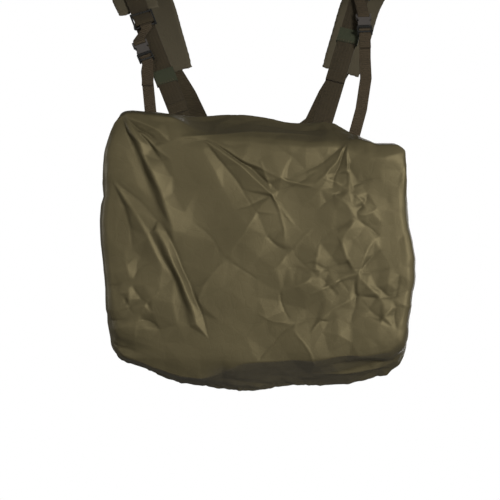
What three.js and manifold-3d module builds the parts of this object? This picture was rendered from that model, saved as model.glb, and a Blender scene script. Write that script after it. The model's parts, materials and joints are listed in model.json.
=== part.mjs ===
// A chest pack for game calls, under its rain cover, on a webbing shoulder harness in its worn shape.
// Millimetres. +X to the viewer's right, +Y towards the wearer's back, +Z up.
// Origin: the centre of the mesh pad's face that rests on the chest.
import * as THREE from "three";
import Module from "manifold-3d";

const wasm = await Module();
wasm.setup();

// ---------------------------------------------------------------- driving dimensions
const GAP = 0.3;
// How far a cutting body stands out of the body that it cuts: a little, or well clear.
const OVERSHOOT = 1;
const CLEAR = 9;
const WALL = 2.5;
const ROUND_SIDES = 20;

const PANEL = { halfWidth: 160, halfHeight: 132, radius: 55, front: -9.3, back: -5 };
const PAD_FACE = { halfWidth: 128, low: -118, high: 88, radius: 30 };
const BODY = { halfWidth: 156, halfHeight: 128, radius: 42, front: -62 };
const LID_SEAM = 104;

const ZIP = { low: 97, high: 110, thick: 1.2, back: -24 };
const SLIDER = { width: 9, height: 8, depth: 3, fromCentre: 8 };
const PULL = { width: 6, length: 26, top: 1, front: 1.4, back: 0.6 };

const CALL_POCKET = { halfWidth: 125, low: -112, high: -46, depth: 40 };
const POT_POCKET = { inner: 48, outer: 150, low: -36, high: 58, depth: 28 };
const POCKET_RADIUS = 9;
const POCKET_EDGE = 2;
const FLAP = { thick: 2.4, drop: 30, overhang: 3, radius: 8 };
const LOOP_BAND = { halfWidth: 42, height: 16, pitch: 19, bore: 4.5, wall: 1.4, base: 1.8, count: 4 };
const LOOP_BAND_HEIGHTS = { upper: 30, lower: -18 };

// The cover's widest outline, clockwise from the top left corner: its corners and where its edge changes course.
const COVER_OUTLINE = [
  [-170, 175], [-115, 175], [-20, 175], [60, 167], [93, 167], [140, 138], [174, 137], [183, 76],
  [194, -21], [189, -80], [174, -146], [87, -162], [-48, -169], [-103, -160], [-155, -136],
  [-177, -126], [-190, -49], [-195, 54], [-182, 149],
];
// Each section: depth, then the outline's share across, above and below the centre.
const COVER_SECTIONS = [
  [-12.3, 0.97, 0.965, 0.965],
  [-45, 1, 1, 1],
  [-88, 0.985, 0.875, 0.81],
  [-106, 0.962, 0.82, 0.745],
  [-113, 0.93, 0.785, 0.705],
  [-116, 0.88, 0.74, 0.66],
];
const COVER_SAMPLES = 56;
const COVER_WALL = 1.8;
// The inside lies this much deeper at each section, up to the wall's thickness.
const COVER_STEP = 0.45;
const COVER_BULGE = 1.5;
const HEM = { front: -12, back: -5, thick: 4, share: 0.965 };

const WEB = 1.6;
const WIDE = 25;
const NARROW = 15;
// Heights of the layers above the wearer's surface.
const HEIGHT = { main: 2, tail: 4.1, narrow: 10.6 };
const KEEPER = { length: 21, clear: 0.5, wall: 1 };
const HEM_FOLD = { length: 13, thick: 3 };

// The wearer's surface in front of the shoulder: height against depth.
const CHEST = [[90, -1.6], [132, -1.6], [160, 3], [207, 12], [317, 62], [357, 95]];
const CHEST_BEND = 207;
// Heights between which a wide strap's direction and its slack are taken.
const WIDE_RUN = { low: 220, high: 300, bends: [132, 160, 207], topBend: 317, tailBend: 316 };
// How far below the ladder lock the strap leaves the chest, and its tail; above highLock the tail bends too.
const WIDE_FOLD = { behind: 25, front: 30, highLock: 330 };
const NARROW_LIFTS = [2, 2, 2, 3.4, 5.6, 7.6];
// The narrow straps at the buckle: half the run its slope is taken from, and each end's lead and offset.
const NARROW_RUN = {
  reach: 20, lead: 4, lap: 0.25, blend: 32, wrapLead: 8, behind: 1.4, front: 1.6,
  hem: 8, hemStart: 9, hemRise: 0.5, tailShare: 0.3,
};

// Each side's own strap positions: the straps aren't worn quite alike.
const SIDES = {
  left: {
    sign: -1,
    wideAt: 188, wideX: -103.6, wideSlope: -0.4,
    tailEnd: 183, keeper: 231, lock: 308, buckle: 265,
    narrow: [[-134, 96], [-135, 132], [-136, 160], [-138.5, 184], [-142, 215], [-144.5, 236]],
    buckleX: -151, narrowTailEnd: 216, narrowTailLift: 9.9,
    buckleTilt: 0.37,
  },
  right: {
    sign: 1,
    wideAt: 171, wideX: 83, wideSlope: 0.3126,
    tailEnd: 224, keeper: 287, lock: 349, buckle: 303,
    narrow: [[112, 96], [120, 132], [122, 149], [133, 188], [140, 228], [139.6, 255]],
    buckleX: 140, narrowTailEnd: 266, narrowTailLift: 13,
    buckleTilt: 0.03,
  },
};
const SEWN_LOW = 96;

const NOTCH_SIDES = 14;
// Buckle proportions, from the webbing's width.
const buckleSize = (web) => ({
  half: web / 2 + 1,
  frameHalf: web / 2 + 2.5,
  rail: 2,
  plate: 1.2,
  thick: 6.8,
  mouth: -6,
  crown: 6,
  topBar: 12,
  base: -9,
  wrapBar: -12.4,
  lowBar: -17.6,
  lowBarLift: 4.3,
  railHalf: 1.6,
  crownBelow: 1.6,
  crownAbove: 0.6,
  ribHalf: 1,
  ribFrom: 2,
  ribInset: 0.2,
  bar: 1.2,
  prongOut: web / 2 - 1.2,
  prongArm: 2.6,
  prongTip: 4,
  headLow: 0,
  headInside: 1,
  headClear: 0.6,
  headTop: 0.8,
  notch: 2.1,
  notchOut: 0.4,
});

const BAR = { inset: 0.4, sides: 10 };

const LOCK = {
  half: 15, rail: 2, rim: 1.5, bar: 1.2, top: 10, mid: -4.5, low: -11.4, rear: -6, rearDrop: 6.6,
};

const SHOULDER = { width: 57, thick: 8, over: 160 };
// The shoulder pad's run: depth and height of the wearer's surface, from the pad's front end over to the back.
const OVER_SHOULDER = [[95, 357], [125, 379], [152, 375], [176, 352], [200, 307], [215, 262]];
const PAD_BACK_X = 120;
// The pad starts this far above the ladder lock; a start above lowTop begins at the given depth and height.
const PAD_START = { above: 15, lowTop: 340, top: 357, depth: 101, height: 362 };
const PAD_SAMPLES = 22;
// Its ends thin out, as a share of its thickness at the end and for each sample inwards.
const PAD_END = { share: 0.35, step: 0.3, underlay: 1, webbing: 1.9 };
// The webbing's way through the ladder lock, from its top bar to round its middle bar.
const LOCK_WAY = { over: 1.5, under: 2, drop: 0.2, before: 4, beforeIn: 0.4, after: 3 };
const BACK_RUN = [[230, 232], [239.5, 192], [242.6, 177], [242.6, 158]];
const YOKE = { halfWidth: 62, low: 40, high: 172, radius: 26, front: 236, thick: 5 };
const YOKE_STRAP_X = 42;

// The side strap's run round the wearer: sideways, depth, height.
const SIDE_FRONT = [[134, -3.9, -92], [160, -3.9, -92], [172, 8, -92], [184, 28, -92]];
const SIDE_REAR = [
  [193, 100, -92], [187, 150, -72], [166, 196, -38], [126, 226, 6], [88, 239, 34], [66, 242.6, 50],
];
const SIDE_BUCKLE = { x: 188.5, y: 64 };
const SIDE_SEWN_IN = [44, 242.6, 66];
// Its webbing at the buckle: how far each layer runs on from its bar, and the front layer's height.
const SIDE_WRAP = { far: 14, near: 6, height: 1.7, back: 12 };
const SIDE_SAMPLES = 18;

// ---------------------------------------------------------------- solids
const MATERIALS = {};
const SLOTS = {
  cover: ["#5f5740", 0.5], coverHem: ["#4a4330", 0.6], fabric: ["#4c4634", 0.9],
  mesh: ["#3a3628", 0.95], webWide: ["#363021", 0.85], webNarrow: ["#403624", 0.85],
  elastic: ["#303224", 0.9], plastic: ["#141413", 0.35], plate: ["#3e3a36", 0.5],
  zip: ["#1d1c18", 0.6], metal: ["#6f6c66", 0.4], pad: ["#3d382a", 0.9],
};
for (const [slot, [color, roughness]] of Object.entries(SLOTS)) {
  MATERIALS[slot] = new THREE.MeshStandardMaterial({ color, roughness });
}

const part = new THREE.Group();
part.name = "turkey_call_chest_pack";

function add(name, solid, slot) {
  const geometry = solid.isBufferGeometry ? solid : toGeometry(solid);
  geometry.computeVertexNormals();
  const mesh = new THREE.Mesh(geometry, MATERIALS[slot].clone());
  mesh.name = name;
  part.add(mesh);
}

// A closed geometry as a manifold solid, with its equal corners made one.
function toManifold(geometry) {
  const source = geometry.index ? geometry.toNonIndexed() : geometry;
  const position = source.getAttribute("position");
  const seen = new Map();
  const vertices = [];
  const triangles = [];
  for (let i = 0; i < position.count; i += 1) {
    const p = [position.getX(i), position.getY(i), position.getZ(i)];
    const key = p.map((c) => Math.round(c * 1e4)).join(",");
    if (!seen.has(key)) {
      seen.set(key, vertices.length / 3);
      vertices.push(...p);
    }
    triangles.push(seen.get(key));
  }
  const kept = [];
  for (let i = 0; i < triangles.length; i += 3) {
    const [a, b, c] = triangles.slice(i, i + 3);
    if (a !== b && b !== c && c !== a) kept.push(a, b, c);
  }
  const mesh = new wasm.Mesh({
    numProp: 3,
    vertProperties: new Float32Array(vertices),
    triVerts: new Uint32Array(kept),
  });
  return new wasm.Manifold(mesh);
}

function toGeometry(solid) {
  const mesh = solid.getMesh();
  const vertices = new Float32Array(mesh.numVert * 3);
  for (let i = 0; i < mesh.numVert; i += 1) {
    vertices.set(mesh.vertProperties.subarray(i * mesh.numProp, i * mesh.numProp + 3), i * 3);
  }
  const geometry = new THREE.BufferGeometry();
  geometry.setAttribute("position", new THREE.BufferAttribute(vertices, 3));
  geometry.setIndex(new THREE.BufferAttribute(new Uint32Array(mesh.triVerts), 1));
  return geometry;
}

const join = (first, ...rest) => rest.reduce((whole, next) => whole.add(next), first);
const cut = (first, ...rest) => rest.reduce((whole, next) => whole.subtract(next), first);

function box([x0, x1], [y0, y1], [z0, z1], matrix) {
  const geometry = new THREE.BoxGeometry(x1 - x0, y1 - y0, z1 - z0);
  geometry.translate((x0 + x1) / 2, (y0 + y1) / 2, (z0 + z1) / 2);
  if (matrix) geometry.applyMatrix4(matrix);
  return toManifold(geometry);
}

// A round bar along a local frame's first axis, its ends just inside the rails it joins.
function bar(halfLength, radius, v, n, matrix) {
  const length = 2 * (halfLength - BAR.inset);
  const geometry = new THREE.CylinderGeometry(radius, radius, length, BAR.sides);
  geometry.rotateZ(Math.PI / 2);
  geometry.translate(0, v, n);
  if (matrix) geometry.applyMatrix4(matrix);
  return toManifold(geometry);
}

// A rounded rectangle in X and Z, from depth `front` to depth `back`.
function plate({ left, right, low, high, radius, front, back }) {
  const shape = new THREE.Shape();
  const quarter = Math.PI / 2;
  shape.absarc(right - radius, high - radius, radius, 0, quarter);
  shape.absarc(left + radius, high - radius, radius, quarter, 2 * quarter);
  shape.absarc(left + radius, low + radius, radius, 2 * quarter, 3 * quarter);
  shape.absarc(right - radius, low + radius, radius, 3 * quarter, 4 * quarter);
  const settings = { depth: back - front, bevelEnabled: false, curveSegments: 6 };
  const geometry = new THREE.ExtrudeGeometry(shape, settings);
  geometry.rotateX(quarter);
  geometry.translate(0, back, 0);
  return toManifold(geometry);
}

const centredPlate = (halfWidth, halfHeight, radius, front, back) =>
  plate({
    left: -halfWidth, right: halfWidth, low: -halfHeight, high: halfHeight, radius, front, back,
  });

// ---------------------------------------------------------------- webbing
const vec = (x, y, z) => new THREE.Vector3(x, y, z);

// The direction across a strap that lies on the chest or over the shoulder.
function acrossBody(tangent) {
  const outward = vec(0, -tangent.z, tangent.y).normalize();
  return tangent.clone().cross(outward).normalize();
}

// The same for a strap that may run up or down.
const acrossEither = (tangent) =>
  acrossBody(tangent.z < 0 ? tangent.clone().negate() : tangent);

// One direction across at the points given, and the wearer's elsewhere.
function acrossAt(points, direction) {
  return (tangent, p) =>
    (points.some((q) => q.distanceTo(p) < 1e-6) ? direction : acrossEither(tangent));
}

function tangents(points, closed) {
  const last = points.length - 1;
  return points.map((_, i) => {
    const before = closed ? points[(i + last) % points.length] : points[Math.max(i - 1, 0)];
    const after = closed ? points[(i + 1) % points.length] : points[Math.min(i + 1, last)];
    return after.clone().sub(before).normalize();
  });
}

// A flat band along `points`. `across` is a direction, one for each point, or a function of tangent
// and point; `thick` is a thickness, or one for each point; a closed band joins its end to its start.
function band(points, { across, width, thick = WEB, closed = false }) {
  const along = tangents(points, closed);
  const corners = [];
  points.forEach((p, i) => {
    const side = typeof across === "function" ? across(along[i], p) : across[i] ?? across;
    const outward = side.clone().cross(along[i]).normalize();
    const half = (Array.isArray(thick) ? thick[i] : thick) / 2;
    for (const [s, n] of [[-1, -1], [1, -1], [1, 1], [-1, 1]]) {
      const corner = p.clone().addScaledVector(side, (s * width) / 2);
      corners.push(corner.addScaledVector(outward, n * half));
    }
  });
  const rows = points.length;
  const index = [];
  const steps = closed ? rows : rows - 1;
  for (let r = 0; r < steps; r += 1) {
    for (let c = 0; c < 4; c += 1) {
      const a = 4 * r + c;
      const b = 4 * r + ((c + 1) % 4);
      const d = (a + 4) % (4 * rows);
      const e = (b + 4) % (4 * rows);
      // The two broad faces share the same diagonals, so the band keeps its thickness.
      if (c === 2) index.push(a, b, d, b, e, d);
      else index.push(a, b, e, a, e, d);
    }
  }
  if (!closed) {
    const end = 4 * (rows - 1);
    index.push(0, 2, 1, 0, 3, 2, end, end + 1, end + 2, end, end + 2, end + 3);
  }
  const geometry = new THREE.BufferGeometry();
  const flat = corners.flatMap((c) => [c.x, c.y, c.z]);
  geometry.setAttribute("position", new THREE.BufferAttribute(new Float32Array(flat), 3));
  geometry.setIndex(index);
  const solid = toManifold(geometry);
  if (solid.volume() > 0) return solid;
  for (let i = 0; i < index.length; i += 3) {
    [index[i + 1], index[i + 2]] = [index[i + 2], index[i + 1]];
  }
  geometry.setIndex(index);
  return toManifold(geometry);
}

// Half a turn round a bar, in a local frame's second and third axes.
function turn(v, n, radius, from, to, steps = 6) {
  const points = [];
  for (let i = 0; i <= steps; i += 1) {
    const a = from + ((to - from) * i) / steps;
    points.push([v + radius * Math.sin(a), n + radius * Math.cos(a)]);
  }
  return points;
}

function chestDepth(z) {
  const i = Math.max(1, CHEST.findIndex(([height]) => height >= z));
  const [z0, y0] = CHEST[i - 1];
  const [z1, y1] = CHEST[i];
  return y0 + ((y1 - y0) * (z - z0)) / (z1 - z0);
}

// A point on the chest, raised off the wearer's surface.
function onChest(x, z, height) {
  const slope = chestDepth(z + 0.5) - chestDepth(z - 0.5);
  const outward = vec(0, -1, slope).normalize();
  return vec(x, chestDepth(z), z).addScaledVector(outward, height);
}

// A local frame: u across, v along the strap, n away from the wearer.
function frameAt(origin, across, along) {
  const v = along.clone().normalize();
  const u = across.clone().addScaledVector(v, -across.dot(v)).normalize();
  const n = u.clone().cross(v);
  return new THREE.Matrix4().makeBasis(u, v, n).setPosition(origin);
}

const place = (matrix, points, u = 0) =>
  points.map(([v, n]) => vec(u, v, n).applyMatrix4(matrix));

// ---------------------------------------------------------------- the pack
function buildPack() {
  const panel = centredPlate(
    PANEL.halfWidth, PANEL.halfHeight, PANEL.radius, PANEL.front, PANEL.back,
  );
  add("back_panel", panel, "fabric");

  const pad = plate({
    left: -PAD_FACE.halfWidth, right: PAD_FACE.halfWidth, low: PAD_FACE.low,
    high: PAD_FACE.high, radius: PAD_FACE.radius, front: PANEL.back + GAP, back: 0,
  });
  add("spacer_mesh_pad", pad, "mesh");

  const back = PANEL.front - GAP;
  const { halfWidth, halfHeight, radius, front } = BODY;
  const outer = centredPlate(halfWidth, halfHeight, radius, front, back);
  const inner = centredPlate(
    halfWidth - WALL, halfHeight - WALL, radius - WALL, front + WALL, back - WALL,
  );
  const shell = cut(outer, inner);
  const everywhere = [-halfWidth - OVERSHOOT, halfWidth + OVERSHOOT];
  const depths = [front - OVERSHOOT, back + OVERSHOOT];
  const top = halfHeight + OVERSHOOT;
  const above = box(everywhere, depths, [LID_SEAM, top]);
  const below = box(everywhere, depths, [-top, LID_SEAM + GAP]);
  add("main_compartment", cut(shell, above), "fabric");
  add("main_lid", cut(shell, below), "fabric");

  buildZip(front);
}

function buildZip(front) {
  const grown = (by, from, to) =>
    centredPlate(
      BODY.halfWidth + by, BODY.halfHeight + by, BODY.radius + by, from, to,
    );
  const outer = grown(GAP + ZIP.thick, front - GAP - ZIP.thick, ZIP.back);
  const inner = grown(GAP, front - GAP, ZIP.back + OVERSHOOT);
  const wide = [-BODY.halfWidth - CLEAR, BODY.halfWidth + CLEAR];
  const deep = [front - CLEAR, 0];
  const high = BODY.halfHeight + CLEAR;
  const tape = cut(
    outer, inner, box(wide, deep, [ZIP.high, high]), box(wide, deep, [-high, ZIP.low]),
  );
  add("zip_tape", tape, "zip");

  const face = front - 2 * GAP - ZIP.thick;
  const middle = (ZIP.low + ZIP.high) / 2;
  for (const [side, sign] of [["left", -1], ["right", 1]]) {
    const x = sign * SLIDER.fromCentre;
    const body = box(
      [x - SLIDER.width / 2, x + SLIDER.width / 2],
      [face - SLIDER.depth, face],
      [middle - SLIDER.height / 2, middle + SLIDER.height / 2],
    );
    const pull = box(
      [x - PULL.width / 2, x + PULL.width / 2],
      [face - SLIDER.depth - PULL.front, face - SLIDER.depth + PULL.back],
      [middle - PULL.length, middle - PULL.top],
    );
    add("zip_slider_" + side, join(body, pull), "metal");
  }
}

// A pocket on the front of the body, open at the top.
function pocket(left, right, low, high, depth) {
  const back = BODY.front - GAP;
  const front = back - depth;
  const radius = POCKET_RADIUS;
  const outer = plate({ left, right, low, high, radius, front, back });
  const inner = plate({
    left: left + WALL, right: right - WALL, low: low + WALL, high: high + 2 * radius,
    radius: radius - WALL, front: front + WALL, back: back - WALL,
  });
  const squareTop = box([left, right], [front, back], [high - radius, high]);
  const softEdge = box(
    [left - OVERSHOOT, right + OVERSHOOT],
    [-POCKET_EDGE, POCKET_EDGE], [-POCKET_EDGE, POCKET_EDGE],
    new THREE.Matrix4().makeRotationX(Math.PI / 4).setPosition(0, front, low),
  );
  return cut(join(outer, squareTop), inner, softEdge);
}

// A flap over a pocket: a top and a front drop.
function flap(left, right, high, depth, name) {
  const back = BODY.front - GAP;
  const front = back - depth;
  const roof = high + GAP;
  const wide = [left - FLAP.overhang, right + FLAP.overhang];
  const fall = plate({
    left: wide[0], right: wide[1], low: roof - FLAP.drop, high: roof + FLAP.thick + FLAP.radius,
    radius: FLAP.radius, front: front - GAP - FLAP.thick, back: front - GAP,
  });
  const over = box(
    [wide[0] - OVERSHOOT, wide[1] + OVERSHOOT],
    [front - CLEAR, back],
    [roof + FLAP.thick, roof + FLAP.thick + FLAP.radius + CLEAR],
  );
  const cap = box(wide, [front - GAP - FLAP.thick, back], [roof, roof + FLAP.thick]);
  add(name, cut(join(fall, cap), over), "fabric");
}

function buildPockets() {
  const call = CALL_POCKET;
  add(
    "box_call_pocket",
    pocket(-call.halfWidth, call.halfWidth, call.low, call.high, call.depth),
    "fabric",
  );
  flap(-call.halfWidth, call.halfWidth, call.high, call.depth, "box_call_flap");
  const pot = POT_POCKET;
  for (const [side, sign] of [["left", -1], ["right", 1]]) {
    const ends = [sign * pot.inner, sign * pot.outer].sort((a, b) => a - b);
    add("pot_pocket_" + side, pocket(...ends, pot.low, pot.high, pot.depth), "fabric");
    flap(...ends, pot.high, pot.depth, "pot_flap_" + side);
  }
}

// An elastic band with loops for strikers, one loop beside the other.
function buildLoopBands() {
  const back = BODY.front - GAP;
  const outerRadius = LOOP_BAND.bore + LOOP_BAND.wall;
  const centreY = back - LOOP_BAND.base - LOOP_BAND.bore;
  for (const [name, middle] of Object.entries(LOOP_BAND_HEIGHTS)) {
    const heights = [middle - LOOP_BAND.height / 2, middle + LOOP_BAND.height / 2];
    let strip = box(
      [-LOOP_BAND.halfWidth, LOOP_BAND.halfWidth], [back - LOOP_BAND.base, back], heights,
    );
    const bores = [];
    const last = (LOOP_BAND.count - 1) / 2;
    for (let i = -last; i <= last; i += 1) {
      const tube = new THREE.CylinderGeometry(outerRadius, outerRadius, LOOP_BAND.height, ROUND_SIDES);
      tube.rotateX(Math.PI / 2);
      tube.translate(i * LOOP_BAND.pitch, centreY, middle);
      strip = strip.add(toManifold(tube));
      const bore = new THREE.CylinderGeometry(
        LOOP_BAND.bore, LOOP_BAND.bore, LOOP_BAND.height + 2 * OVERSHOOT, ROUND_SIDES,
      );
      bore.rotateX(Math.PI / 2);
      bore.translate(i * LOOP_BAND.pitch, centreY, middle);
      bores.push(toManifold(bore));
    }
    const behind = box(
      [-LOOP_BAND.halfWidth, LOOP_BAND.halfWidth],
      [back, back + 2 * outerRadius],
      [heights[0] - OVERSHOOT, heights[1] + OVERSHOOT],
    );
    add("striker_loops_" + name, cut(strip, ...bores, behind), "elastic");
  }
}

// ---------------------------------------------------------------- the rain cover
const coverCurve = new THREE.CatmullRomCurve3(
  COVER_OUTLINE.map(([x, z]) => vec(x, 0, z)), true, "centripetal",
);

function coverRing([depth, across, above, below], wall) {
  return coverCurve.getPoints(COVER_SAMPLES).slice(0, COVER_SAMPLES).map((p) => {
    const x = p.x * across;
    const z = p.z * (p.z > 0 ? above : below);
    const inset = 1 - wall / Math.hypot(x, z);
    return vec(x * inset, depth, z * inset);
  });
}

// A solid through rings of equal length, closed by a fan at each end.
function loft(rings, bulge = 0) {
  const count = rings[0].length;
  const points = rings.flat();
  const index = [];
  for (let r = 0; r < rings.length - 1; r += 1) {
    for (let i = 0; i < count; i += 1) {
      const a = r * count + i;
      const b = r * count + ((i + 1) % count);
      index.push(a, b, b + count, a, b + count, a + count);
    }
  }
  const last = (rings.length - 1) * count;
  const start = points.push(vec(0, rings[0][0].y, 0)) - 1;
  const end = points.push(vec(0, rings[rings.length - 1][0].y - bulge, 0)) - 1;
  for (let i = 0; i < count; i += 1) {
    const j = (i + 1) % count;
    index.push(start, j, i, end, last + i, last + j);
  }
  const geometry = new THREE.BufferGeometry();
  const flat = points.flatMap((c) => [c.x, c.y, c.z]);
  geometry.setAttribute("position", new THREE.BufferAttribute(new Float32Array(flat), 3));
  geometry.setIndex(index);
  const solid = toManifold(geometry);
  if (solid.volume() > 0) return solid;
  geometry.setIndex(index.slice().reverse());
  return toManifold(geometry);
}

function buildCover() {
  const outer = loft(COVER_SECTIONS.map((section) => coverRing(section, 0)), COVER_BULGE);
  const hollow = COVER_SECTIONS.map(([depth, ...shares], i) => {
    const shift = i === 0 ? OVERSHOOT : Math.min(COVER_WALL, COVER_STEP * i);
    return coverRing([depth + shift, ...shares], COVER_WALL);
  });
  add("rain_cover", cut(outer, loft(hollow, COVER_BULGE)), "cover");

  const share = [HEM.share, HEM.share, HEM.share];
  const outside = loft([HEM.back, HEM.front].map((y) => coverRing([y, ...share], 0)));
  const inside = loft(
    [HEM.back + OVERSHOOT, HEM.front - OVERSHOOT].map((y) => coverRing([y, ...share], HEM.thick)),
  );
  add("cover_hem", cut(outside, inside), "coverHem");
}

// ---------------------------------------------------------------- buckles and ladder locks
function buildBuckle(size, matrix, socketName, plugName, prongNames) {
  const s = size;
  const half = s.thick / 2;
  const across = [-s.half, s.half];
  const crownRun = [s.crown - s.crownBelow, s.crown + s.crownAbove];
  const railDepth = [-s.railHalf, s.railHalf];
  const frontPlate = box(across, [s.mouth, s.crown], [half - s.plate, half], matrix);
  const backPlate = box(across, [s.mouth, s.crown], [-half, s.plate - half], matrix);
  const crown = box(across, crownRun, [-half, half], matrix);
  const rib = box(
    [-s.ribHalf, s.ribHalf], [s.mouth + s.ribFrom, s.crown],
    [-half + s.ribInset, half - s.ribInset], matrix,
  );
  const rails = [-1, 1].map((side) => {
    const edges = [side * (s.frameHalf - s.rail), side * s.frameHalf].sort((a, b) => a - b);
    return box(edges, [crownRun[0], s.topBar + s.bar], railDepth, matrix);
  });
  const bridge = box([-s.frameHalf, s.frameHalf], crownRun, railDepth, matrix);
  const topBar = bar(s.frameHalf, s.bar, s.topBar, 0, matrix);
  const notches = [-1, 1].map((side) => {
    const hole = new THREE.CylinderGeometry(s.notch, s.notch, s.thick + 2 * OVERSHOOT, NOTCH_SIDES);
    hole.rotateX(Math.PI / 2);
    hole.translate(side * (s.half + s.notchOut), (s.headLow + s.prongTip) / 2 - GAP, 0);
    hole.applyMatrix4(matrix);
    return toManifold(hole);
  });
  const socket = join(frontPlate, backPlate, crown, rib, bridge, topBar, ...rails);
  add(socketName, cut(socket, ...notches), "plate");

  const inner = half - s.plate - GAP;
  const base = box([-s.frameHalf, s.frameHalf], [s.base, s.mouth - GAP], [-inner, inner], matrix);
  const lowRails = [-1, 1].map((side) => {
    const edges = [side * (s.frameHalf - s.rail), side * s.frameHalf].sort((a, b) => a - b);
    const rail = box(
      edges, [s.lowBar - s.railHalf, s.base + OVERSHOOT], railDepth, matrix,
    );
    const post = box(
      edges, [s.lowBar - s.railHalf, s.lowBar + s.railHalf], [0, s.lowBarLift + s.railHalf], matrix,
    );
    return rail.add(post);
  });
  const wrapBar = bar(s.frameHalf, s.bar, s.wrapBar, 0, matrix);
  const lowBar = bar(s.frameHalf, s.bar, s.lowBar, s.lowBarLift, matrix);
  add(plugName, join(base, wrapBar, lowBar, ...lowRails), "plastic");

  [-1, 1].forEach((side, i) => {
    const edge = (from, to) => [side * from, side * to].sort((a, b) => a - b);
    const arm = box(
      edge(s.prongOut - s.prongArm, s.prongOut), [s.mouth, s.prongTip], [-inner, inner], matrix,
    );
    const head = box(
      edge(s.prongOut - s.headInside, s.half - s.headClear), [s.headLow, s.prongTip - s.headTop],
      [-inner, inner], matrix,
    );
    add(prongNames[i], join(arm, head), "plastic");
  });
}

function buildLock(name, matrix) {
  const k = LOCK;
  const rails = [-1, 1].map((side) => {
    const edges = [side * (k.half - k.rail), side * k.half].sort((a, b) => a - b);
    const front = box(
      edges, [k.low - k.rim, k.top + k.rim], [-k.rim, k.rim], matrix,
    );
    const rear = box(
      edges, [k.rear - k.rim, k.rear + k.rim], [-k.rearDrop - k.rim, 0], matrix,
    );
    return front.add(rear);
  });
  const bars = [[k.top, 0], [k.mid, 0], [k.low, 0], [k.rear, -k.rearDrop]].map(([v, n]) =>
    bar(k.half, k.bar, v, n, matrix),
  );
  add(name, join(...rails, ...bars), "plastic");
}

// ---------------------------------------------------------------- one side of the harness, in front
function buildFront(side, s) {
  const wideX = (z) => s.wideX + s.wideSlope * (z - s.wideAt);
  const wide = (z, height) => onChest(wideX(z), z, height);
  const along = wide(WIDE_RUN.high, 0).sub(wide(WIDE_RUN.low, 0)).normalize();
  const across = acrossBody(along);

  // The ladder lock stands at the narrow strap's height, its rear bar inside the wide strap's fold.
  const lockOrigin = onChest(wideX(s.lock), s.lock, HEIGHT.narrow);
  const steep = wide(s.lock + 0.5, 0).sub(wide(s.lock - 0.5, 0)).normalize();
  const lockFrame = frameAt(lockOrigin, across, steep);
  buildLock("ladder_lock_" + side, lockFrame);

  buildWideStrap(side, s, wide, lockFrame);

  const keeperFrame = frameAt(wide(s.keeper, 0), across, along);
  const low = HEIGHT.main - WEB / 2 - KEEPER.clear;
  const high = HEIGHT.tail + WEB / 2 + KEEPER.clear;
  const half = WIDE / 2 + KEEPER.clear;
  const reach = KEEPER.length / 2;
  const ring = cut(
    box(
      [-half - KEEPER.wall, half + KEEPER.wall], [-reach, reach],
      [low - KEEPER.wall, high + KEEPER.wall], keeperFrame,
    ),
    box([-half, half], [-reach - OVERSHOOT, reach + OVERSHOOT], [low, high], keeperFrame),
  );
  add("keeper_" + side, ring, "elastic");

  buildNarrow(side, s, across, lockFrame);
  return lockFrame;
}

// The adjusting strap: sewn to the back panel, up behind, round the ladder lock's rear bar, down as the tail.
function buildWideStrap(side, s, wide, lockFrame) {
  const radius = LOCK.bar + GAP + WEB / 2;
  const up = [SEWN_LOW, ...WIDE_RUN.bends].map((z) => wide(z, HEIGHT.main));
  up.push(wide(Math.min(WIDE_RUN.topBend, s.lock - WIDE_FOLD.behind), HEIGHT.main));
  const fold = turn(LOCK.rear, -LOCK.rearDrop, radius, -Math.PI, -2 * Math.PI);
  const down = [];
  const downFrom = s.lock > WIDE_FOLD.highLock ? WIDE_RUN.tailBend : s.lock - WIDE_FOLD.front;
  down.push(wide(downFrom, HEIGHT.tail));
  const hemTop = s.tailEnd + HEM_FOLD.length;
  if (hemTop < CHEST_BEND) down.push(wide(CHEST_BEND, HEIGHT.tail));
  const grown = (HEM_FOLD.thick - WEB) / 2;
  const tail = [
    wide(hemTop + OVERSHOOT, HEIGHT.tail),
    wide(hemTop, HEIGHT.tail + grown),
    wide(s.tailEnd, HEIGHT.tail + grown),
  ];
  const folded = place(lockFrame, fold);
  const path = [...up, ...folded, ...down, ...tail];
  const thick = path.map((_, i) => (i >= path.length - 2 ? HEM_FOLD.thick : WEB));
  const across = acrossAt(folded, vec(1, 0, 0).transformDirection(lockFrame));
  add("adjust_strap_" + side, band(path, { across, width: WIDE, thick }), "webWide");
}

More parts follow.
